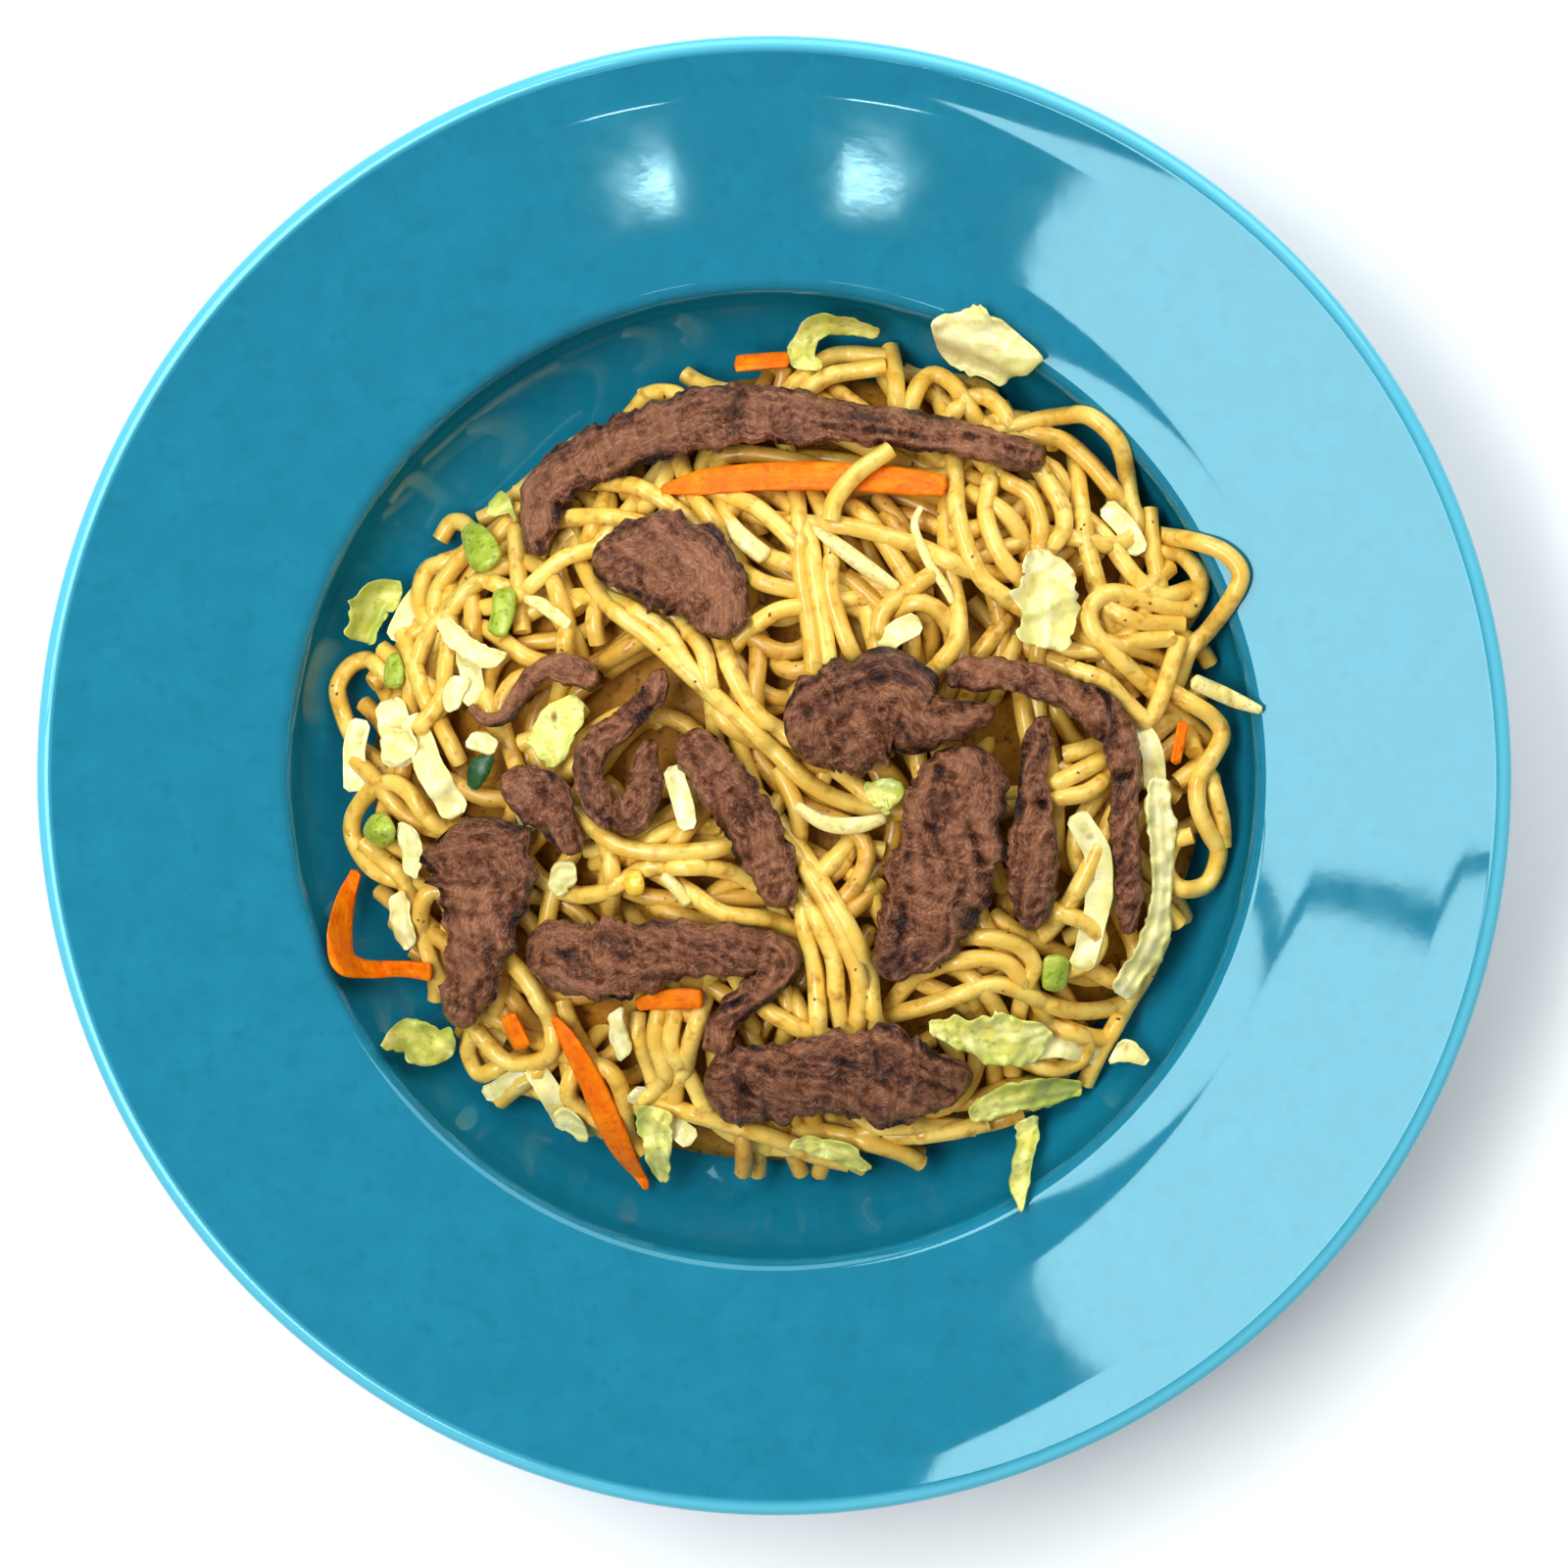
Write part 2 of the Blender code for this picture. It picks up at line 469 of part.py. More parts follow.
def core_point(step, share, height_at):
    angle = 2 * math.pi * step / CORE_STEPS
    out = share * heap_edge(angle)
    x, y = out * math.cos(angle), out * math.sin(angle)
    return (x, y, height_at(x, y))


def topping_spots():
    """Discs of (x, y, radius) that together cover every topping, seen from above."""
    routes = [route for runs in BEEF.values() for _, route in runs]
    routes += list(CARROT.values())
    routes += [route for _, _, route in LEAF.values()]
    routes += [route for _, _, route in STICK.values()]
    return [(p.x, p.y, p.z / 2) for route in routes for p in smooth_route(route, 1.5)]


def is_clear(x, y, spots, taken):
    """Whether a noodle may pass here: off the toppings, and not on top of another strand."""
    reach = NOODLE_RADIUS + NOODLE_CLEARANCE
    for sx, sy, radius in spots:
        if (x - sx) ** 2 + (y - sy) ** 2 < (radius + reach) ** 2:
            return False
    for sx, sy in taken:
        if (x - sx) ** 2 + (y - sy) ** 2 < (1.5 * NOODLE_RADIUS) ** 2:
            return False
    return True


def strand_direction(x, y, offset):
    """Heading of the noodles here: downhill to the right in the middle, in slow swirls outside."""
    swirl = noise.noise(Vector((x / 34, y / 34, 2.0 + offset)))
    return math.radians(-62 + 0.25 * x) + 2.6 * swirl


def grow_strand(seed_x, seed_y, offset, spots, taken):
    """A run of points both ways from the seed, ended by a topping or the heap's edge."""
    halves = []
    for sign in (1, -1):
        x, y, half = seed_x, seed_y, []
        while len(half) * NOODLE_STEP < NOODLE_LENGTH / 2:
            heading = strand_direction(x, y, offset)
            x += sign * NOODLE_STEP * math.cos(heading)
            y += sign * NOODLE_STEP * math.sin(heading)
            inside = math.hypot(x, y) < heap_edge(math.atan2(y, x)) - NOODLE_RADIUS
            if not inside or not is_clear(x, y, spots, taken):
                break
            half.append((x, y, 0.0))
        halves.append(half)
    return halves[1][::-1] + [(seed_x, seed_y, 0.0)] + halves[0]


def noodle_rings(points):
    """Sections of one noodle, its lower third sunk in the heap and clear of the plate."""
    rings = []
    path = []
    for x, y, lift in points:
        bed = max(heap_height(x, y) + NOODLE_SINK * NOODLE_RADIUS,
                  ball_on_plate(math.hypot(x, y), NOODLE_RADIUS) + GAP)
        path.append(Vector((x, y, bed + lift)))
    for i, centre in enumerate(path):
        along = (path[min(i + 1, len(path) - 1)] - path[max(i - 1, 0)]).normalized()
        across = along.cross(Vector((0, 0, 1))).normalized()
        up = across.cross(along)
        rings.append([centre + NOODLE_RADIUS * (math.cos(a) * across + math.sin(a) * up)
                      for a in (2 * math.pi * j / NOODLE_SIDES for j in range(NOODLE_SIDES))])
    return rings


def noodle_strands(material):
    """Loose strands, spread evenly by the golden angle, then those that loop at the edge."""
    spots, taken, strands = topping_spots(), [], []
    for route in NOODLE_LOOPS.values():
        run = []
        for point in smooth_route(route, NOODLE_STEP):
            if is_clear(point.x, point.y, spots, []):
                run.append(tuple(point))
            else:
                strands.append(run)
                run = []
        strands.append(run)
        taken += [(x, y) for x, y, _ in run]
    golden = math.pi * (3 - math.sqrt(5))
    for i in range(NOODLE_TRIES):
        out = math.sqrt((i + 0.5) / NOODLE_TRIES) * max(HEAP_EDGE)
        x, y = out * math.cos(i * golden), out * math.sin(i * golden)
        if out > heap_edge(math.atan2(y, x)) - 2 * NOODLE_RADIUS or not is_clear(x, y, spots, taken):
            continue
        points = grow_strand(x, y, 0.37 * (i % 3), spots, taken)
        if (len(points) - 1) * NOODLE_STEP >= SHORTEST_NOODLE:
            strands.append(points)
            taken += [(px, py) for px, py, _ in points]
    made = []
    for i, points in enumerate(strands):
        if len(points) < 3:
            continue
        vertices, faces = ring_mesh([ring[::-1] for ring in noodle_rings(points)])
        made.append(new_object("strand_%03d" % i, vertices, faces, material))
    return made


def fuse(target, pieces, solver="EXACT"):
    """Joins the pieces to the target in one union, and removes the separate pieces."""
    group = bpy.data.collections.new("to_fuse")
    for piece in pieces:
        bpy.context.scene.collection.objects.unlink(piece)
        group.objects.link(piece)
    union = target.modifiers.new("union", "BOOLEAN")
    union.operation = "UNION"
    union.operand_type = "COLLECTION"
    union.collection = group
    union.solver = solver
    bpy.context.view_layer.update()
    joined = bpy.data.meshes.new_from_object(target.evaluated_get(bpy.context.evaluated_depsgraph_get()))
    target.modifiers.clear()
    target.data = joined
    for piece in pieces:
        bpy.data.objects.remove(piece)
    bpy.data.collections.remove(group)
    keep_outer_shell(target)


def keep_outer_shell(obj):
    """Deletes sealed hollows and loose scraps: every part of the mesh but the largest."""
    shape = bmesh.new()
    shape.from_mesh(obj.data)
    left, parts = set(shape.verts), []
    while left:
        edge, part = [left.pop()], set()
        while edge:
            vertex = edge.pop()
            part.add(vertex)
            for link in vertex.link_edges:
                other = link.other_vert(vertex)
                if other in left:
                    left.remove(other)
                    edge.append(other)
        parts.append(part)
    largest = max(parts, key=len)
    bmesh.ops.delete(shape, geom=[v for v in shape.verts if v not in largest], context="VERTS")
    shape.to_mesh(obj.data)
    shape.free()


def finish(name, colour, roughness):
    """A plain finish for one kind of piece."""
    material = bpy.data.materials.new(name)
    material.use_nodes = True
    shader = material.node_tree.nodes["Principled BSDF"]
    shader.inputs["Base Color"].default_value = (*colour, 1)
    shader.inputs["Roughness"].default_value = roughness
    shader.inputs["Metallic"].default_value = 0.0
    return material


def beef_pieces(material):
    for name, runs in BEEF.items():
        made = []
        for k, (thickness, route) in enumerate(runs):
            vertices, faces = ring_mesh(beef_rings(route, thickness))
            made.append(new_object(name if k == 0 else "%s_run" % name, vertices, faces, material))
        if len(made) > 1:
            fuse(made[0], made[1:])


def main():
    clear_scene()
    finishes = {name: finish(name, colour, 0.15 if name == "glaze" else 0.45)
                for name, colour in COLOURS.items()}
    plate(finishes["glaze"])
    core = heap_core(finishes["noodle"])
    fuse(core, noodle_strands(finishes["noodle"]))
    beef_pieces(finishes["beef"])
    for name, route in CARROT.items():
        widest = max(width for _, _, width in route)
        rings = stick_rings(route, CARROT_THICKNESS / widest, 4, 0.5)
        new_object(name, *ring_mesh(rings), finishes["carrot"])
    for name, (colour, wave, route) in LEAF.items():
        new_object(name, *leaf_mesh(route, wave), finishes[colour])
    for name, (colour, share, route) in STICK.items():
        new_object(name, *ring_mesh(stick_rings(route, share, 6, 0)), finishes[colour])


main()
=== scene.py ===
"""Dresses a plate of stir-fried noodles: glazed plate, tangled noodles, seared beef and vegetables.

Routes and sizes in the tables are in millimetres, as (x, y, width) seen from above with +Y away.
"""

import itertools
import math

import bpy
import numpy as np
from bpy.props import FloatProperty, FloatVectorProperty, IntProperty, PointerProperty
from bpy.types import Operator, Panel, PropertyGroup
from mathutils import Matrix, Vector, noise


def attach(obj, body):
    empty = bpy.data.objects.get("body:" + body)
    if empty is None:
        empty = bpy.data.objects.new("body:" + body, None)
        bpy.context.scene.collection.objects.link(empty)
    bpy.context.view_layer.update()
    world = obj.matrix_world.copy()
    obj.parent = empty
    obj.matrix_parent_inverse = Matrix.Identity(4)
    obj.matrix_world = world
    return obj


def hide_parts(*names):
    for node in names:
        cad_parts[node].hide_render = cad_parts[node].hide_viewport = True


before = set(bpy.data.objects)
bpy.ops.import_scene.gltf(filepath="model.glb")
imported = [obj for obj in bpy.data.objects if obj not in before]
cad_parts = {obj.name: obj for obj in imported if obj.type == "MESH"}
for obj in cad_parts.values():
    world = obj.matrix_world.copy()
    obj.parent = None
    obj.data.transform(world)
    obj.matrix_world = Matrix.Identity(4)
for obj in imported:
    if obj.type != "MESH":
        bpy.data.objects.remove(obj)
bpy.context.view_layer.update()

bl_info = {
    "name": "Stir-fried noodles",
    "version": (1, 0, 0),
    "blender": (4, 5, 0),
    "location": "View3D > Sidebar > Noodles",
    "description": "Builds a plate of stir-fried noodles with beef and vegetables",
    "category": "Object",
}

MM = 0.001

# Plate, as the solid has it
FLOOR_TOP = 9.0
FLOOR_BOTTOM = 4.5
FLOOR_RADIUS = 60.0
WELL_RADIUS = 92.5
WELL_TOP = 31.0
SHOULDER_ROUND = 3.5
RIM_OUTER = 135.5
RIM_RISE = 8.8
WALL = 4.0
FOOT_OUTER = 58.5
FOOT_INNER = 52.0
LIP_START = 136.6
LIP_FADE = 1.6
LIP_GLAZE = (88, 178, 200)

# Heap, as the solid has it
HEAP_EDGE = (88.0, 89.0, 82.0, 78.0, 84.0, 82.0, 80.0, 83.0)
HEAP_PEAK = 45.0
HEAP_EDGE_THICKNESS = 3.0
HEAP_LUMP = 1.4
HEAP_SKIRT_SLOPE = 0.9
TOPPING_GAP = 0.55
BED_REACH = 2.8
CARROT_THICKNESS = 3.0

# The lights and the camera, in metres: a softbox in two panes, two small lamps and a fill.
LIGHT_HEIGHT = 0.95
SOFTBOX_X = -0.415
SOFTBOX_WIDTH = 0.48
SOFTBOX_LENGTH = 0.8
SOFTBOX_COLOUR = (0.93, 0.98, 1.0)
PANE_BARS = (-0.36, -0.003, 0.46)
PANE_GAP = 0.012
SPOT_PLACES = ((-0.0486, -0.2262), (-0.124, -0.2285))
SPOT_SIZE = (0.021, 0.008)
SPOT_POWER = 0.018
FILL_PLACE = (0.25, 0.95, 0.75)
FILL_SIZE = (1.4, 0.8)
FILL_POWER = 13.0
FILL_COLOUR = (0.92, 0.98, 1.0)
SURROUND_COLOUR = (0.95, 0.97, 1.0, 1)
SURROUND_STRENGTH = 0.4
CAMERA_AIM = (0.0040, -0.0006, 0.043)
CAMERA_LEAN = (0.0869, 0.0405, 0.9954)
SENSOR_WIDTH = 36
VIEW_WIDTH = 0.2963
TABLE_HALF = 900
TABLE_TOP = -0.2

# Height map that the noodles are laid on
MAP_HALF = 110.0
MAP_STEP = 0.5
CORE_DROP = 7.0
CORE_SHARE = 0.945
DIVE_LENGTH = 24
DIVE_SLOPE = 0.34
DIVE_DEPTH = 4.2
OPEN_RISE = 4.4
PRESSED_MOST = 1.3
PLATE_CLEARANCE = 0.25
SHORTEST_RUN = 12
END_SINK = 4.5
END_REACH = 8

BEEF = {
    "beef_long": [(7.0, [
        (-43.5, 42.5, 3.5), (-44, 48, 7.5), (-43.5, 55, 10), (-37, 60, 11), (-28, 64, 11.5),
        (-15, 68, 12), (0, 69.2, 11.5), (15, 67.8, 8.5), (32, 65.6, 7.5), (45, 62.4, 7),
        (53, 60.3, 5.5)])],
    "beef_patch": [(6.5, [
        (-33, 41, 5), (-28, 41.5, 11), (-21, 42, 18), (-13.5, 39, 18), (-8, 33, 13),
        (-5.5, 27, 6.5)])],
    "beef_curl": [(6.0, [
        (-56.5, 14, 1.6), (-52.5, 11.4, 2.6), (-48.5, 12.6, 3.6), (-45.5, 17.5, 4), (-41, 21.4, 4.5),
        (-36, 20.6, 6), (-31, 18, 4)])],
    "beef_arm": [(7.0, [
        (-14.5, 9, 6), (-11, 5, 9.5), (-6.5, -1, 10.5), (-2, -8, 10.5), (1.5, -14.5, 9.8),
        (3.3, -20, 8.5), (3.6, -24, 5)])],
    "beef_knot": [(6.5, [
        (-18.8, 21.2, 3), (-20, 16.5, 5), (-25, 11.8, 5.6), (-31, 6.8, 6), (-32.4, 1, 6),
        (-30.4, -4.5, 6.5), (-27, -8, 4)]),
        (6.5, [(-29, -6, 5), (-24.5, -6, 8.5), (-21.8, -1.5, 6.5), (-21.6, 4, 4.5), (-20.6, 8, 2.5)])],
    "beef_chip": [(6.0, [
        (-50, 0.5, 3.5), (-46, -1.5, 9), (-41, -4.5, 11), (-38.4, -8.5, 8), (-34.4, -13.5, 4.5)])],
    "beef_left": [(7.0, [
        (-57, -7.5, 11), (-55.6, -12, 21), (-54.3, -19, 21.5), (-54.6, -27, 16.5), (-56, -35, 12.5),
        (-58.3, -42, 11), (-61.2, -48.6, 5)])],
    "beef_zigzag": [(7.5, [
        (-45.5, -34.3, 6), (-41, -33.6, 12.5), (-33, -34, 15.5), (-24, -33.3, 14), (-14, -31.6, 11),
        (-4, -31.8, 9.5), (3, -33, 8), (1.5, -37.5, 7), (-4, -42, 6), (-7.8, -47, 5.6),
        (-8.8, -52, 6)]),
        (7.5, [
        (-11.6, -57, 7), (-7.5, -57.6, 15), (3, -57.8, 15.5), (14, -55.6, 16.5), (23.5, -56.2, 20),
        (31, -57.2, 14), (39.5, -56.4, 4.5)])],
    "beef_fold": [(7.5, [
        (6.5, 5.5, 8), (10.5, 8.8, 18), (16, 11.4, 20), (22, 14.2, 21), (27, 14.2, 17.5),
        (31.5, 11.6, 12), (38, 12.2, 6.5), (44, 13.4, 3)])],
    "beef_arch": [(5.5, [
        (34.5, 19.2, 3.5), (39.5, 20.4, 6.2), (47, 20.2, 5.8), (55, 17.6, 6.4), (62, 14.2, 7.4),
        (67, 8, 7.4), (68.2, 0.5, 6), (67.9, -8, 5.4), (69, -17, 5.4), (69, -24, 4.8),
        (69, -29.5, 2.4)])],
    "beef_slab": [(7.5, [
        (41, 6.6, 9), (38.8, 0.5, 16), (36, -8, 19), (34, -17, 20.5), (31, -25, 18), (26.2, -32, 12),
        (22.2, -36.2, 5)])],
    "beef_sliver": [(6.0, [
        (53.4, 12.4, 2.4), (52, 8, 5.2), (51.2, 2.5, 5.2), (51.2, -4, 6.4), (51, -10, 8.8),
        (51.2, -17, 9.6), (50.8, -23, 8.6), (51, -28.4, 3)])],
}

CARROT = {
    "carrot_top": [(-7.2, 79.6, 3.4), (0, 80.2, 3.4), (3.6, 80.4, 3.2)],
    "carrot_long": [(-20, 55, 1.6), (-12, 56.4, 4.8), (0, 57.5, 5.4), (15, 57.4, 5.4),
                    (28, 56.4, 5), (34.6, 55.6, 3.8)],
    "carrot_hook": [(-81.4, -18.5, 2.6), (-83.4, -24, 3), (-83.6, -31, 3), (-82.4, -36, 3.2),
                    (-78, -37.9, 3.2), (-71, -37.7, 3.4), (-65.5, -38, 3.6)],
    "carrot_under_bar": [(-24.5, -43, 2.2), (-21, -42, 3.4), (-16, -41.3, 4.2), (-11, -41.2, 3.8)],
    "carrot_spear": [(-41, -45.6, 1.4), (-38, -50, 3.8), (-34, -58.5, 5), (-31, -67, 5.6),
                     (-28, -75, 4), (-24.8, -81, 1)],
    "carrot_stub": [(-50.2, -45.4, 3.6), (-47.2, -52.4, 3.8)],
    "carrot_chip": [(79.2, 11.2, 2.2), (77.6, 3, 2)],
}

# Leaf pieces: finish, height of the waves, then the route.
LEAF = {
    "leaf_top_curl": ("cabbage", 2.0, [(7.6, 78.2, 5), (6.2, 82.2, 5), (8.6, 85.8, 4),
                                       (14, 86.6, 3.2), (20.8, 85.2, 2)]),
    "leaf_top_right": ("cabbage_white", 1.4, [(31.6, 84.4, 6), (35.5, 83.8, 9.6), (40.5, 82.8, 12.4),
                                              (45.4, 82.9, 13.4), (48, 84.2, 11)]),
    "leaf_heart": ("cabbage_white", 2.4, [(51.4, 43.6, 2.8), (53.6, 39, 9.5), (53.8, 33, 12.6),
                                          (53.6, 28, 11), (53.6, 25, 9)]),
    "leaf_upper_left": ("cabbage", 1.4, [(-55, 50.6, 1.8), (-52.4, 52.4, 5), (-50.4, 52.6, 7)]),
    "leaf_left_upper": ("cabbage", 2.2, [(-73, 34.6, 5.5), (-77, 34.6, 6.6), (-79.4, 30, 6.6),
                                         (-80.4, 26, 5)]),
    "leaf_ribbon": ("cabbage_white", 1.4, [(-63, 30.6, 3), (-59.6, 26.8, 4), (-55.6, 24.4, 4.2),
                                           (-50.4, 22.2, 4)]),
    "leaf_stem": ("cabbage_white", 0.8, [(-58.4, 19.6, 4), (-59.8, 16.4, 4.6), (-59.8, 13, 3)]),
    "leaf_stem_low": ("cabbage_white", 0.8, [(-56.4, 8, 3), (-53.6, 6.8, 4.2), (-50.8, 6.2, 3.6)]),
    "leaf_translucent": ("cabbage", 1.4, [(-38.4, 15.4, 6), (-38.6, 10.6, 9.4), (-39, 7, 8.6),
                                          (-38.4, 3.2, 4)]),
    "leaf_left_mid": ("cabbage_white", 1.2, [(-75, 8, 4), (-71.4, 6.4, 7), (-67.6, 5.2, 4)]),
    "leaf_left_low": ("cabbage_white", 1.4, [(-69.4, -9, 3.6), (-69, -14, 5), (-69.2, -19, 3)]),
    "leaf_left_rib": ("cabbage_white", 1.4, [(-72.6, -22.6, 3.6), (-71.6, -28, 5), (-69.8, -33, 3.6)]),
    "leaf_bottom_left": ("cabbage", 2.2, [(-74.4, -50.6, 2.6), (-71, -50.4, 7), (-66, -52.4, 8),
                                          (-62.4, -53.6, 5.4)]),
    "leaf_bottom_pale": ("cabbage_white", 1.2, [(-42, -67.4, 3), (-39.4, -67.4, 6), (-36, -68.4, 5)]),
    "leaf_bottom_mid": ("cabbage", 1.8, [(-21.4, -63.4, 7.4), (-22, -69, 6.6), (-22, -75, 4.4),
                                         (-21.6, -79.4, 2)]),
    "leaf_bottom_green": ("cabbage", 1.6, [(4.4, -70.2, 2.4), (9, -70.6, 4), (14, -72.4, 5),
                                           (18.8, -76, 2.6)]),
    "leaf_lower_right": ("cabbage", 1.8, [(31.5, -46.4, 3), (37.5, -48, 6), (44.5, -49.6, 10.4),
                                          (50, -49, 9), (53.6, -47.4, 4)]),
    "leaf_long_lower": ("cabbage", 1.6, [(38.6, -64.6, 3.6), (46, -61.8, 6), (54.6, -60.6, 5.6),
                                         (60, -60.2, 3.4)]),
    "leaf_spear": ("cabbage", 0.8, [(49.4, -65.8, 4.2), (49, -72, 4.5), (48.6, -77, 3.6),
                                    (48.9, -82, 0.9)]),
    "leaf_right_long": ("cabbage_white", 1.2, [(74.4, 0.4, 4), (74.8, -8, 5.4), (75.4, -15, 4.4),
                                               (75, -24, 4.4), (73, -32, 5.6), (67.4, -41.6, 4.4)]),
    "leaf_right_tip": ("cabbage_white", 1.4, [(66, -52.8, 4.6), (69, -53, 4), (72.6, -53.8, 1.8)]),
    "leaf_knob": ("cabbage", 2.0, [(20, -2.6, 5), (24, -2.4, 7), (25, -4.6, 4)]),
    "leaf_tucked": ("cabbage_white", 1.0, [(-35.4, -17.8, 3.6), (-38.4, -18.6, 5), (-40.4, -21.4, 3.4)]),
    "leaf_vertical": ("cabbage_white", 0.9, [(-28.6, -44, 3.8), (-28, -49, 3.8), (-27, -53.4, 3.4)]),
}

# Round pieces: finish, thickness as a share of the width, then the route.
STICK = {
    "stem_green": ("green", 0.6, [(-60.4, 48.6, 3), (-57.4, 46, 6), (-55, 42.6, 7), (-53.6, 40, 5.4)]),
    "scallion_stem": ("green", 0.7, [(-50.4, 36.6, 4.8), (-50.4, 32, 4.8), (-51.8, 27.2, 4.4)]),
    "scallion_left": ("green", 0.7, [(-73.6, 24, 2.6), (-73, 20.6, 4.4), (-73, 17, 4.2)]),
    "pea": ("green", 0.85, [(-76, -6.8, 3.4), (-75.4, -10.2, 7.2), (-75, -13.8, 4)]),
    "dark_leaf_left": ("dark_green", 0.35, [(-51.8, 4.8, 1.8), (-54.4, 2, 4.4), (-56, -2, 2.2)]),
    "stem_cube": ("green", 0.6, [(55.6, -33, 5), (55, -37, 5), (55, -40.4, 4.4)]),
    "sprout_upper": ("sprout", 0.85, [(9, 48, 1), (13.4, 45, 2.8), (19, 40.8, 3.2), (25.8, 36.2, 2)]),
    "sprout_thin": ("sprout", 0.85, [(29.8, 52, 1.2), (28.6, 48, 1.6), (31, 42, 2), (34.4, 36.6, 1.8),
                                     (36, 33.4, 1.4)]),
    "sprout_right": ("sprout", 0.85, [(94, 13.2, 1.6), (88, 15.6, 3.2), (80.6, 19, 3)]),
    "rib_centre": ("sprout", 0.6, [(6.4, -4.4, 2), (12, -7.8, 3), (18, -8.2, 3.2), (23.6, -6.8, 2)]),
    "rib_left": ("sprout", 0.7, [(-46.6, 34.6, 1.6), (-42.4, 33, 2.8), (-37, 29, 2.4)]),
    "rib_low": ("sprout", 0.7, [(-18.6, -17.4, 2.4), (-15.6, -20.6, 2.6), (-13.6, -23.4, 2)]),
    "rib_dark_tip": ("sprout", 0.7, [(-6.4, 49.4, 2.2), (-4, 46, 3.6), (1, 42, 3.6)]),
    "corn_kernel": ("corn", 0.7, [(-24, -16.6, 2.4), (-24, -19.6, 4), (-24, -22, 2.6)]),
}

